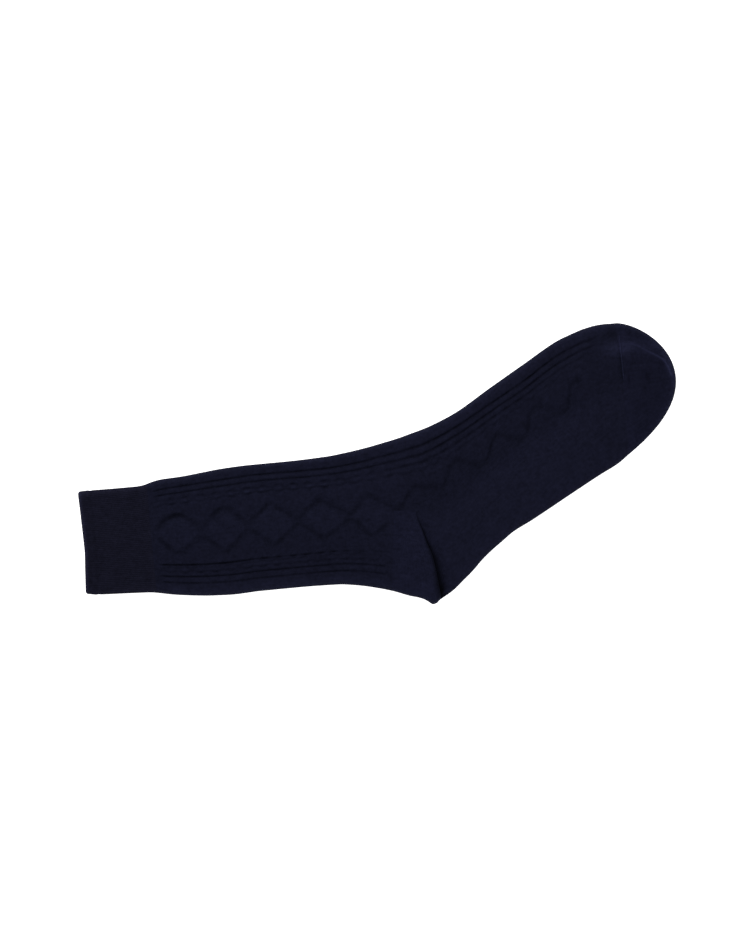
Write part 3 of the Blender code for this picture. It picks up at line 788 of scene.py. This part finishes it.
def knit(name, grid, held, sunk, tone, slot, slide=0.0, seams=(), crossings=(), every=(6, 6), tip=False):
    """Makes one piece of knitted cloth with thickness.

    held says which cells of the grid belong to it, and seams and crossings are the columns and
    rows on which that changes. sunk is the depth of the relief at each point for the outer and
    the inner face, and tone how much darker or lighter than plain cloth the yarn is painted, for its own
    lighter parts and for painted light and shade.
    """
    shape = grid.x.shape
    rows = kept_lines(shape[0], every[0], (*crossings, shape[0] - 1))
    columns = kept_lines(shape[1], every[1], seams)
    starts, ends = np.zeros(shape, bool), np.zeros(shape, bool)
    starts[:-1] = held | np.roll(held, 1, axis=1)
    ends[1:] = held | np.roll(held, 1, axis=1)
    used = starts | ends
    x = grid.x + slide + JOIN * (starts.astype(float) - ends.astype(float))
    points, normals, distance = skin(x[used], grid.across[used], grid.is_top[used])
    rise = np.zeros(len(points))
    shade = tone[used].copy()
    on_top = grid.is_top[used]
    # The toe's folds add height and painted light and shade to the upper face
    if points[:, 0].max() > SEAM_X - FOLDS_BEFORE_SEAM:
        folds, light = toe_folds(points[:, 0], points[:, 1])
        rise[on_top] += folds[on_top]
        shade[on_top] += light[on_top]
    # Painted highlight beside the outline
    shade += painted_rim_highlight(points, normals, distance, grid.across[used])
    outer_sunk, inner_sunk = sunk[0][used] - rise, sunk[1][used] - rise
    outer_sunk = np.where(on_top, outer_sunk, np.maximum(outer_sunk, 0))
    outer = points - normals * outer_sunk[:, None]
    inner = points - normals * (inner_sunk + WALL)[:, None]

    number = np.full(shape, -1)
    number[used] = np.arange(len(points))
    coarse = np.zeros(shape, bool)
    coarse[np.ix_(rows, columns)] = True
    coarse &= used
    inner_number = np.full(shape, -1)
    inner_number[coarse] = len(points) + np.arange(coarse.sum())
    vertices = np.concatenate([outer, inner[number[coarse]]])
    faces = cloth_faces(held, number, inner_number, rows, columns)
    if tip:
        faces, vertices = close_tip(faces, vertices, number[-1], inner_number[-1, columns])
    mesh = bpy.data.meshes.new(name)
    mesh.from_pydata(vertices.tolist(), [], [[int(v) for v in face] for face in faces])
    mesh.validate()
    mesh.shade_smooth()
    mesh.set_sharp_from_angle(angle=SHARP_ANGLE)

    order = np.concatenate([np.arange(len(points)), number[coarse]])
    courses = grid.row[used] * ROW_LENGTH / COURSE
    stitch = np.column_stack([wales(grid.across[used]), courses, 0 * courses])
    keep_on_points(mesh, "stitch", stitch[order])
    keep_on_points(mesh, "tone", shade[order])
    keep_on_points(mesh, "depth", (sunk[0][used] / GROOVE_DEPTH)[order])
    piece = place_object(name, mesh)
    mesh.materials.append(MATERIALS[slot])
    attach(piece, "root")
    return piece


def linear(code):
    """An sRGB hex colour as linear values."""
    values = [int(code[k : k + 2], 16) / 255 for k in (1, 3, 5)]
    return tuple(v / 12.92 if v <= 0.04045 else ((v + 0.055) / 1.055) ** 2.4 for v in values) + (1.0,)


def add_node(tree, kind, settings=None, links=None):
    """Adds a node, sets its options and unlinked inputs, and links sockets to its inputs."""
    node = tree.nodes.new(kind)
    for key, value in (settings or {}).items():
        if isinstance(key, str) and hasattr(node, key):
            setattr(node, key, value)
        else:
            node.inputs[key].default_value = value
    for key, source in (links or {}).items():
        tree.links.new(source, node.inputs[key])
    return node


# Steps of arithmetic on the surface: what each gives, the operation, and its inputs by name or
# value. First the height of the stitches, slanted legs that meet in a V on plain cloth and bumps
# in a groove, and then how light the yarn is, from painted shade between its stitches, its dye, streaks
# and tone.
YARN_STEPS = [
    ("in wale", "FRACT", "wale"),
    ("off middle", "SUBTRACT", "in wale", 0.5),
    ("half width", "ABSOLUTE", "off middle"),
    ("aside", "MULTIPLY", "half width", 2.0),
    ("leg turn", "MULTIPLY", "aside", math.pi),
    ("leg arch", "SINE", "leg turn"),
    ("leg", "POWER", "leg arch", 0.6),
    ("slanted course", "MULTIPLY_ADD", "aside", 0.6, "course"),
    ("in course", "FRACT", "slanted course"),
    ("loop turn", "MULTIPLY", "in course", math.pi),
    ("loop arch", "SINE", "loop turn"),
    ("loop", "MULTIPLY_ADD", "loop arch", 0.5, 0.5),
    ("plain", "MULTIPLY", "leg", "loop"),
    ("bump turn", "MULTIPLY", "course", math.pi),
    ("bump arch", "SINE", "bump turn"),
    ("bump", "ABSOLUTE", "bump arch"),
    ("purl", "MULTIPLY", "bump", 0.7),
    ("sunk", "MAXIMUM", "depth", 0.0),
    ("turned", "SMOOTH_MIN", "sunk", 1.0, 0.2),
    ("plain to purl", "SUBTRACT", "purl", "plain"),
    ("height", "MULTIPLY_ADD", "turned", "plain to purl", "plain"),
    # Painted shade: darker in the gaps between stitches and down in grooves, lighter on the loops
    ("painted stitch shade", "MULTIPLY_ADD", "height", STITCH_SHADE_CONTRAST, 1 - 0.4 * STITCH_SHADE_CONTRAST),
    ("patch light", "MULTIPLY_ADD", "patches", PATCH_CONTRAST, -PATCH_CONTRAST / 2),
    ("blotch light", "MULTIPLY_ADD", "blotches", BLOTCH_CONTRAST, -BLOTCH_CONTRAST / 2),
    ("streak light", "MULTIPLY_ADD", "streaks", STREAK_CONTRAST, -STREAK_CONTRAST / 2),
    ("with patches", "ADD", "painted stitch shade", "patch light"),
    ("with blotches", "ADD", "with patches", "blotch light"),
    ("with streaks", "ADD", "with blotches", "streak light"),
    ("full tone", "ADD", "tone", 1.0),
    ("tone share", "MAXIMUM", "full tone", 0.05),
    ("light", "MULTIPLY", "with streaks", "tone share"),
]


def combed_cotton(name, yarn, depth_of_stitch=0.6):
    """Knitted combed cotton: matt, nearly black navy, with soft fibres that catch light at edges.

    The gaps between stitches and the floors of grooves get painted shade, and the yarn's dye and how far
    it is stretched vary in patches a few millimetres across and in streaks along the wales.
    """
    material = bpy.data.materials.new(name)
    material.use_nodes = True
    tree = material.node_tree
    shader = tree.nodes["Principled BSDF"]
    stitch = add_node(tree, "ShaderNodeAttribute", {"attribute_name": "stitch"}).outputs["Vector"]
    parts = add_node(tree, "ShaderNodeSeparateXYZ", links={"Vector": stitch})
    at = {"wale": parts.outputs["X"], "course": parts.outputs["Y"]}
    for each in ("tone", "depth"):
        at[each] = add_node(tree, "ShaderNodeAttribute", {"attribute_name": each}).outputs["Fac"]
    place = add_node(tree, "ShaderNodeTexCoord").outputs["Object"]
    stretch = {"operation": "MULTIPLY", 1: STREAK_STRETCH}
    stretched = add_node(tree, "ShaderNodeVectorMath", stretch, {0: stitch}).outputs["Vector"]
    for patches, where, size in (
        ("patches", place, PATCH_SIZE),
        ("blotches", place, BLOTCH_SIZE),
        ("streaks", stretched, STREAK_SIZE),
    ):
        settings = {"Scale": 1 / size, "Detail": 2.0, "Roughness": 0.55}
        at[patches] = add_node(tree, "ShaderNodeTexNoise", settings, {"Vector": where}).outputs["Fac"]
    for result, operation, *inputs in YARN_STEPS:
        settings = {k: value for k, value in enumerate(inputs) if not isinstance(value, str)}
        links = {k: at[value] for k, value in enumerate(inputs) if isinstance(value, str)}
        step = add_node(tree, "ShaderNodeMath", {"operation": operation, **settings}, links)
        at[result] = step.outputs["Value"]
    dye = {"operation": "SCALE", 0: linear(yarn)[:3]}
    colour = add_node(tree, "ShaderNodeVectorMath", dye, {"Scale": at["light"]})
    relief = {"Strength": depth_of_stitch, "Distance": STITCH_BUMP}
    bump = add_node(tree, "ShaderNodeBump", relief, {"Height": at["height"]})
    tree.links.new(colour.outputs["Vector"], shader.inputs["Base Color"])
    tree.links.new(bump.outputs["Normal"], shader.inputs["Normal"])
    shader.inputs["Roughness"].default_value = 0.92
    shader.inputs["Specular IOR Level"].default_value = 0.03
    shader.inputs["Sheen Weight"].default_value = 0.02
    shader.inputs["Sheen Roughness"].default_value = 0.45
    shader.inputs["Sheen Tint"].default_value = linear("#8088B0")
    return material


MATERIALS = {
    "cuff_rib": combed_cotton("elastic rib of combed cotton", "#12121E"),
    "patterned_knit": combed_cotton("patterned combed cotton", "#0F101D"),
    "plain_knit": combed_cotton("plain combed cotton jersey", "#10111F"),
    "seam_thread": combed_cotton("linking thread of cotton", "#10111F", 0.4),
}


def steps(low, high, step):
    """Even steps from low to high, each about step long."""
    return list(np.linspace(low, high, max(1, round((high - low) / step)) + 1))


def along_sock(start, changes, row):
    """A share that starts at one value and changes over some stretches of rows."""
    return start + sum(change.by * ease(change.low, change.high, row) for change in changes)


def strayed(row, across, strays):
    """Places across the sock with a band's straying taken off."""
    return across - smooth_curve([s.row for s in strays], [s.across for s in strays], row)


def groove_relief(across, grooves):
    """Lengthwise grooves with the cloth swelling between them."""
    sunk = np.zeros(across.shape)
    for groove in grooves:
        gap = (across - groove.across) * LEG_WIDTH
        sunk += groove.deep * GROOVE_DEPTH * bell(gap, GROOVE_HALF)
        sunk -= groove.deep * SWELL * bell(np.abs(gap) - SWELL_ASIDE, SWELL_HALF)
    return sunk


def eye_share(row):
    """1 at each eye of a cable and 0 halfway between."""
    return 0.5 + 0.5 * np.cos(2 * math.pi * (row - CABLE_START) / CABLE_ROWS)


def cable_relief(row, across, middle):
    """A narrow cable: two sunk lines that part round an eye with a small raised knot in it."""
    offset = (across - middle) * LEG_WIDTH
    eye = eye_share(row)
    spread = CABLE_ASIDE + CABLE_PARTING * eye
    sides = bell(offset - spread, CABLE_LINE_HALF)
    sides = sides + CABLE_FAINT_SIDE * bell(offset + spread, CABLE_LINE_HALF)
    knot = eye**4 * bell(offset, KNOT_HALF)
    return CABLE_DEPTH * sides * (CABLE_BETWEEN + CABLE_AT_EYE * eye) - KNOT_RISE * knot


def sole_share(across):
    """0 on the patterned instep and 1 on the plain sole."""
    return ease(-0.05, 0.12, across - PATTERN_MIDDLE)


def sunk_line(row, across, turns):
    """How deep one of the two lines is at each point, and on which side of it the point lies."""
    rows, places = [t.row for t in turns], [t.across for t in turns]
    near = 0.25
    place = sum(np.interp(row + shift, rows, places) for shift in (-near, 0.0, near)) / 3
    rise = np.interp(row + near, rows, places) - np.interp(row - near, rows, places)
    slope = rise * LEG_WIDTH / (2 * near * ROW_LENGTH)
    gap = (across - place) * LEG_WIDTH / np.sqrt(1 + slope**2)
    deep = smooth_curve(rows, [t.deep for t in turns], row)
    ends = ease(rows[0] - 0.3, rows[0] + 0.3, row) * (1 - ease(rows[-1] - 0.5, rows[-1], row))
    return ends * deep * bell(gap, LINE_HALF), ends * ease(-0.003, 0.003, gap)


def pattern_relief(row, across, is_top):
    """How deep the pattern is sunk at points of the patterned cloth, and its tone there, with painted
    shade and painted highlights.
    """
    front = strayed(row, across, FRONT_STRAY)
    back = strayed(row, across, BACK_STRAY)
    on_leg = row < ANKLE_ROW
    ribs = groove_relief(front, FRONT_GROOVES) * along_sock(1, FRONT_RIBS, row)
    foot_rib = ease(*FOOT_RIB_STARTS, row) * along_sock(1, FOOT_RIB, row)
    ribs += foot_rib * groove_relief(front, [FOOT_GROOVE])
    dashes = 1 - along_sock(0, DASHES, row) * (1 - eye_share(row + DASHES_AHEAD))
    dashed = dashes * along_sock(1, DASHED_RIB, row) * groove_relief(back, [DASHED_GROOVE])
    behind = (dashed + groove_relief(back, BACK_GROOVES)) * (1 - ease(*BACK_RIBS_END, row))
    cables = cable_relief(row, front, FRONT_CABLE) * along_sock(CABLE_AT_CUFF, CABLE, row)
    behind_cable = cable_relief(row + BACK_CABLE_AHEAD, back, BACK_CABLE)
    cables += BACK_CABLE_SHARE * behind_cable * (1 - ease(*BACK_CABLE_ENDS, row))
    upper, below = sunk_line(row, across, UPPER_LINE)
    lower, above = sunk_line(row, across, LOWER_LINE)
    lower, above = lower * on_leg, above * on_leg
    u, v = row * ROW_LENGTH, across * LEG_WIDTH
    blotchy = BLOTCHY[0] + BLOTCHY[1] * uneven(u, v, BLOTCHY[2])
    steady = STEADY[0] + STEADY[1] * uneven(v, u, STEADY[2])
    lines = np.maximum(upper, lower) * LINE_DEPTH * blotchy * along_sock(1, DIAMOND_LINES, row)
    fade = ease(*PATTERN_STARTS, row) * (1 - ease(*PATTERN_ENDS, row))
    sunk = ((ribs + behind) * steady + cables * blotchy + lines) * fade

    tone = DIAMOND_LIGHT * below * (1 - above) * on_leg * fade
    # Painted shade in the grooves, lines and cables, darker the deeper they are sunk; painted highlight
    # on the raised knots and swells
    tone = tone - GROOVE_SHADE * np.clip(sunk / GROOVE_DEPTH, *SHADE_LIMITS)
    # Painted highlights on the front cable's eyes
    lit = DIM_EYES + sum(bell(row - eye, LIT_ROWS) for eye in LIT_EYES)
    in_eye = eye_share(row) ** 4 * bell((front - FRONT_CABLE) * LEG_WIDTH, CABLE_LINE_HALF)
    tone += EYE_PAINTED_HIGHLIGHT * lit * in_eye * fade
    # Painted highlights in bands along the back edge and the instep edge
    tone += BACK_EDGE_PAINTED_HIGHLIGHT * ease(*BACK_EDGE, across) * ease(*BACK_EDGE_STARTS, row)
    at_instep_rim = (1 - ease(*INSTEP_RIM, across)) * ease(*INSTEP_EDGE_STARTS, row)
    tone += INSTEP_EDGE_PAINTED_HIGHLIGHT * at_instep_rim
    on_sole = ease(*SOLE_STARTS, across - PATTERN_MIDDLE) * ease(ANKLE_ROW - 1, ANKLE_ROW, row)
    sunk, tone = sunk * (1 - on_sole), tone * (1 - on_sole)
    return np.where(is_top, sunk, np.maximum(sunk, 0) * UNDER_SHARE), tone


def fold_share(across):
    """How much of the heel's fold there is at a share across."""
    return ease(HEEL_CORNER, HEEL_CORNER + FOLD_GROWS, across) * (1 - ease(*FOLD_FADES, across))


def tuck_share(across):
    """How far the sole runs under the lip."""
    near, far = (HEEL_CORNER + share for share in TUCK_GROWS)
    return ease(near, far, across) * (1 - ease(*TUCK_FADES, across))


def crease_shade_half(across):
    """Half the width of the painted shade along the crease under the lip: narrow at the ankle, wide at
    the sole.
    """
    return CREASE_SHADE_HALF + CREASE_SHADE_WIDENS * ease(0.50, 0.95, across)


def seam_share(grid):
    """Where the toe's seam shows: on the upper face, away from the outline."""
    return grid.is_top * ease(0.07, 0.16, grid.across) * (1 - ease(0.41, 0.46, grid.across))


def rounded(distance, radius):
    """How far a rounded rim has dropped, as a share, at distances from where it ends."""
    return 1 - np.sqrt(1 - np.clip(1 - distance / radius, 0, 1) ** 2)


def make_cuff():
    """The elastic top: fine lengthwise ribs all round, and a turned welt at the mouth."""
    turned = np.linspace(0, 1, CUFF_RIBS * COLUMNS_IN_RIB + 1)
    fine = np.linspace(0, 1, 4001)
    shares = np.interp(turned, wales(fine) / FACE_WALES, fine)
    columns = [(s, True) for s in shares] + [(s, False) for s in shares[-2:0:-1]]
    lengths = np.array(steps(0, 1, CUFF_STEP))
    grid = Grid(np.full(len(lengths), CUFF_ROW), columns)
    bow = smooth_curve(MOUTH_SHARES, MOUTH_BOW, grid.share)
    bowed = bow * (1 - ease(0, BOW_FADES, lengths))[:, None]
    slide = -LEG_LENGTH + lengths[:, None] * CUFF_LENGTH + bowed - grid.x
    along = np.broadcast_to(lengths[:, None], grid.x.shape)
    grid.row = CUFF_ROW - (1 - along) * CUFF_LENGTH / ROW_LENGTH
    ribs = CUFF_RIBS * wales(grid.across) / FACE_WALES
    pairs = 0.8 + 0.2 * np.cos(math.pi * ribs)
    welt = 1 - ease(*WELT_ENDS, along)
    strength = 1 - 0.35 * welt - 0.3 * ease(0.93, 1.0, along)
    wave = (0.5 - 0.5 * np.cos(2 * math.pi * ribs)) * pairs * strength
    line = bell((along - WELT_LINE) * CUFF_LENGTH, WELT_LINE_HALF)
    rim = WALL / 2 * rounded(along * CUFF_LENGTH, MOUTH_ROUND)
    sunk = RIB_DEPTH * wave + WELT_LINE_DEPTH * line + rim - WELT_RISE * welt
    held = grid.cells(True)
    at_mouth = bell(along * CUFF_LENGTH - MOUTH_ROUND, MOUTH_HIGHLIGHT_HALF)
    # Painted shade in the ribs' grooves and in the line that ends the welt, a darker welt, and a painted
    # highlight along the mouth
    tone = -0.24 * wave - 0.10 * line - 0.08 * welt + MOUTH_PAINTED_HIGHLIGHT * at_mouth
    piece = knit("cuff_knit", grid, held, (sunk, -rim), tone, "cuff_rib", slide, every=(5, 6))
    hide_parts("cuff")
    return piece


def make_leg():
    """The patterned tube between the cuff and the ankle."""
    rows = steps(CUFF_ROW, ANKLE_ROW, 0.16)
    columns = columns_round(0.00052, 0.00085, tops=(0.27, 0.30, 0.70), unders=(0.27, 0.72))
    grid = Grid(rows, columns)
    held = grid.cells(True)
    sunk, tone = pattern_relief(grid.row, grid.across, grid.is_top)
    piece = knit("leg_knit", grid, held, (sunk, 0 * sunk), tone, "patterned_knit")
    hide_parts("leg")
    return piece


def make_heel():
    """The plain heel pocket, whose upper rim lies over the sole as a rounded lip."""
    shares = np.linspace(0, 1, 26)[:-1]
    rows = list(ANKLE_ROW + (CREASE_ROW - ANKLE_ROW) * (1 - (1 - shares) ** 1.3))
    rows = sorted({*rows, *(CREASE_ROW - d for d in (0.06, 0.045, 0.03, 0.02, 0.01, 0.0))})
    columns = columns_round(top_step=0.0007, under_step=0.0012)
    grid = Grid(rows, columns)
    held = grid.cells(False)
    held[:, grid.plain_side] = True
    before = course_x([CREASE_ROW], grid.share)[0][None] - grid.x
    fold = fold_share(grid.across) * grid.is_top
    lower = 1 - LIP_SINKS * ease(0.8, 1.0, grid.across)
    lift = LIP_RISE * fold * (1 - ease(0, LIP_RUN, before)) * lower
    rim = WALL * rounded(before, LIP_ROUND) * fold
    # Painted shade on the lip's rounded rim along the crease
    crease_shade = fold * bell(before, 0.55 * crease_shade_half(grid.across))
    plain = ease(ANKLE_ROW, ANKLE_ROW + 1, grid.row) * ease(0, 0.12, grid.across - HEEL_CORNER)
    tone = HEEL_LIGHT * plain * (1 - crease_shade) - CREASE_SHADE_ON_HEEL * crease_shade
    sunk = (rim / 2 - lift, -lift - rim / 3)
    piece = knit("heel_knit", grid, held, sunk, tone, "plain_knit", seams=grid.corners)
    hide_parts("heel")
    return piece


def make_foot():
    """The patterned instep and the plain sole, whose upper start is tucked under the heel's lip."""
    rows = steps(ANKLE_ROW, CREASE_ROW, 0.17)
    rows += [CREASE_ROW + d for d in (0.06, 0.12, 0.2, 0.3)]
    rows += steps(CREASE_ROW + 0.4, SEAM_ROW, 0.17)
    columns = columns_round(0.00056, 0.0011, tops=(0.27, 0.30, HEEL_CORNER))
    grid = Grid(rows, columns)
    crease_i = int(np.argmin(np.abs(grid.rows - CREASE_ROW)))
    held = grid.cells(True)
    held[:crease_i, grid.plain_side] = False
    past = grid.x - course_x([CREASE_ROW], grid.share)[0][None]
    on_sole_side = grid.row >= CREASE_ROW - 1e-6
    fold = fold_share(grid.across) * grid.is_top * on_sole_side
    dip = fold * (1 - ease(0, FOLD_RUN, past)) * WALL
    valley = fold * VALLEY_DEPTH * bell(past - VALLEY_ASIDE, VALLEY_RUN)
    dip += valley * ease(0.5, 1.0, grid.across)
    # Painted shade on the sole along the crease under the heel's lip, reaching to the outline
    crease_shade = ease(HEEL_CORNER, HEEL_CORNER + FOLD_GROWS, grid.across) * grid.is_top * on_sole_side
    floor = CREASE_SHADE_FLOOR * ease(0.60, 0.95, grid.across)
    crease_shade = crease_shade * bell(np.maximum(past - floor, 0), 0.85 * crease_shade_half(grid.across))
    from_seam = course_x([SEAM_ROW], grid.share)[0][None] - grid.x
    bed = bell(from_seam, BED_HALF) * seam_share(grid)

    sunk, tone = pattern_relief(grid.row, grid.across, grid.is_top)
    sunk = np.maximum(sunk, dip) + BED_DEPTH * bed
    sole = sole_share(grid.across)
    sole_light = SOLE_LIGHT * (1 - 0.5 * ease(52, SEAM_ROW, grid.row))
    # Painted shade in the seam's bed and along the crease under the heel's lip
    tone = tone + sole_light * sole * (1 - crease_shade) - BED_SHADE * bed
    tone = tone - (CREASE_SHADE_ON_SOLE + CREASE_SHADE_AT_OUTLINE * ease(0.88, 1.0, grid.across)) * crease_shade
    tone = tone + INSTEP_LIGHT * (1 - sole) * ease(ANKLE_ROW, ANKLE_ROW + 4, grid.row)
    slide = np.zeros(grid.x.shape)
    slide[crease_i] = -TUCK * tuck_share(grid.across[crease_i]) * grid.is_top[crease_i]
    cloth = (grid, held, (sunk, dip), tone, "patterned_knit", slide)
    piece = knit("foot_knit", *cloth, seams=grid.corners, crossings=(crease_i,))
    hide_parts("foot")
    return piece


SEAM_END_ROW = SEAM_ROW + SEAM_WIDTH / TOE_LENGTH


def make_toe_seam():
    """The linked seam: a thin bead across the instep half and round its edge."""
    rows = list(np.linspace(SEAM_ROW, SEAM_END_ROW, 7))
    columns = columns_round(top_step=0.00045, under_step=0.0009)
    grid = Grid(rows, columns)
    held = grid.cells(True)
    held[:, grid.plain_side] = False
    place = (grid.row - SEAM_ROW) / (SEAM_END_ROW - SEAM_ROW)
    bead = np.sin(math.pi * place)
    twist = 0.75 + 0.25 * np.sin(2 * math.pi * (wales(grid.across) * 0.9 + place * 0.5))
    shown = seam_share(grid)
    sunk = (BED_DEPTH * (1 - bead) - SEAM_RISE * bead * twist) * shown
    # Painted highlight along the later side of the bead and painted shade along its start
    tone = (1.6 * bell(place - 0.75, 0.3) * twist - 0.18 * bell(place, 0.4)) * shown
    cloth = (grid, held, (sunk, 0 * sunk), tone, "seam_thread")
    piece = knit("toe_seam_thread", *cloth, seams=grid.corners)
    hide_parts("toe_seam")
    return piece


def make_toe():
    """The plain closed toe pocket."""
    past = np.sin(np.linspace(0, 1, 56) * math.pi / 2) * 0.9985
    beyond = [SEAM_ROW + p for p in past if p * TOE_LENGTH > SEAM_WIDTH + 0.0004]
    rows = sorted({SEAM_ROW, SEAM_END_ROW, *beyond})
    columns = columns_round(top_step=0.0007, under_step=0.0012)
    grid = Grid(rows, columns)
    held = grid.cells(False)
    held[0, grid.plain_side] = True
    held[1:] = True
    flat = np.zeros(grid.x.shape)
    from_sole = 1 - ease(0.0, 0.3, grid.row - SEAM_ROW)
    sole_light = 0.5 * SOLE_LIGHT * sole_share(grid.across)
    tone = TOE_LIGHT + (sole_light - TOE_LIGHT) * from_sole
    cloth = (grid, held, (flat, flat), tone, "plain_knit")
    piece = knit("toe_knit", *cloth, seams=grid.corners, crossings=(1,), tip=True)
    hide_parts("toe")
    return piece


def photo_point(px, py):
    """The place on the sock's plane that a pixel of the photograph shows."""
    dx = (px - ANKLE_PIXEL[0]) * MM_PER_PIXEL / 1000
    dy = (ANKLE_PIXEL[1] - py) * MM_PER_PIXEL / 1000
    turn = (math.cos(LEG_TILT), math.sin(LEG_TILT))
    return dx * turn[0] + dy * turn[1], -dx * turn[1] + dy * turn[0]


def make_camera():
    """Looks straight down, turned so that the leg rises to the right as in the photograph."""
    data = bpy.data.cameras.new("camera")
    data.lens = LENS
    data.sensor_width = SENSOR
    camera = place_object("camera", data)
    x, y = photo_point(PHOTO_WIDTH / 2, PHOTO_HEIGHT / 2)
    tall = PHOTO_HEIGHT * MM_PER_PIXEL / 1000
    camera.location = (x, y, EDGE_RADIUS + tall * LENS / SENSOR)
    camera.rotation_euler = (0, 0, -LEG_TILT)
    bpy.context.scene.camera = camera


def make_table():
    """A white laminate table that glows a little, as in product photographs, just under the sock."""
    mesh = bpy.data.meshes.new("table")
    side = TABLE_SIDE
    corners = [(-side, -side, 0), (side, -side, 0), (side, side, 0), (-side, side, 0)]
    mesh.from_pydata(corners, [], [(0, 1, 2, 3)])
    table = place_object("table", mesh)
    table.location = (0, 0, -TABLE_GAP)
    white = bpy.data.materials.new("white laminate table")
    white.use_nodes = True
    shader = white.node_tree.nodes["Principled BSDF"]
    shader.inputs["Base Color"].default_value = linear("#F2F2F2")
    shader.inputs["Roughness"].default_value = 0.7
    shader.inputs["Specular IOR Level"].default_value = 0.1
    shader.inputs["Emission Color"].default_value = (1, 1, 1, 1)
    shader.inputs["Emission Strength"].default_value = TABLE_GLOW
    mesh.materials.append(white)


def make_lights():
    """White light from all round, and one wide softbox beyond the instep edge."""
    world = bpy.data.worlds.new("studio")
    world.use_nodes = True
    back = world.node_tree.nodes["Background"]
    back.inputs["Color"].default_value = (1, 1, 1, 1)
    back.inputs["Strength"].default_value = ROOM_LIGHT
    bpy.context.scene.world = world
    data = bpy.data.lights.new("softbox", "AREA")
    data.shape = "RECTANGLE"
    data.size, data.size_y = SOFTBOX_SIZE
    data.energy = SOFTBOX_WATTS
    lamp = place_object("softbox", data)
    lamp.location = SOFTBOX_PLACE
    aim = Vector(SOFTBOX_AIM) - Vector(SOFTBOX_PLACE)
    lamp.rotation_euler = aim.to_track_quat("-Z", "Y").to_euler()
    view = bpy.context.scene.view_settings
    view.view_transform = "Standard"
    view.look = "None"


make_camera()
make_table()
make_lights()
make_cuff()
make_leg()
make_foot()
make_heel()
make_toe_seam()
make_toe()
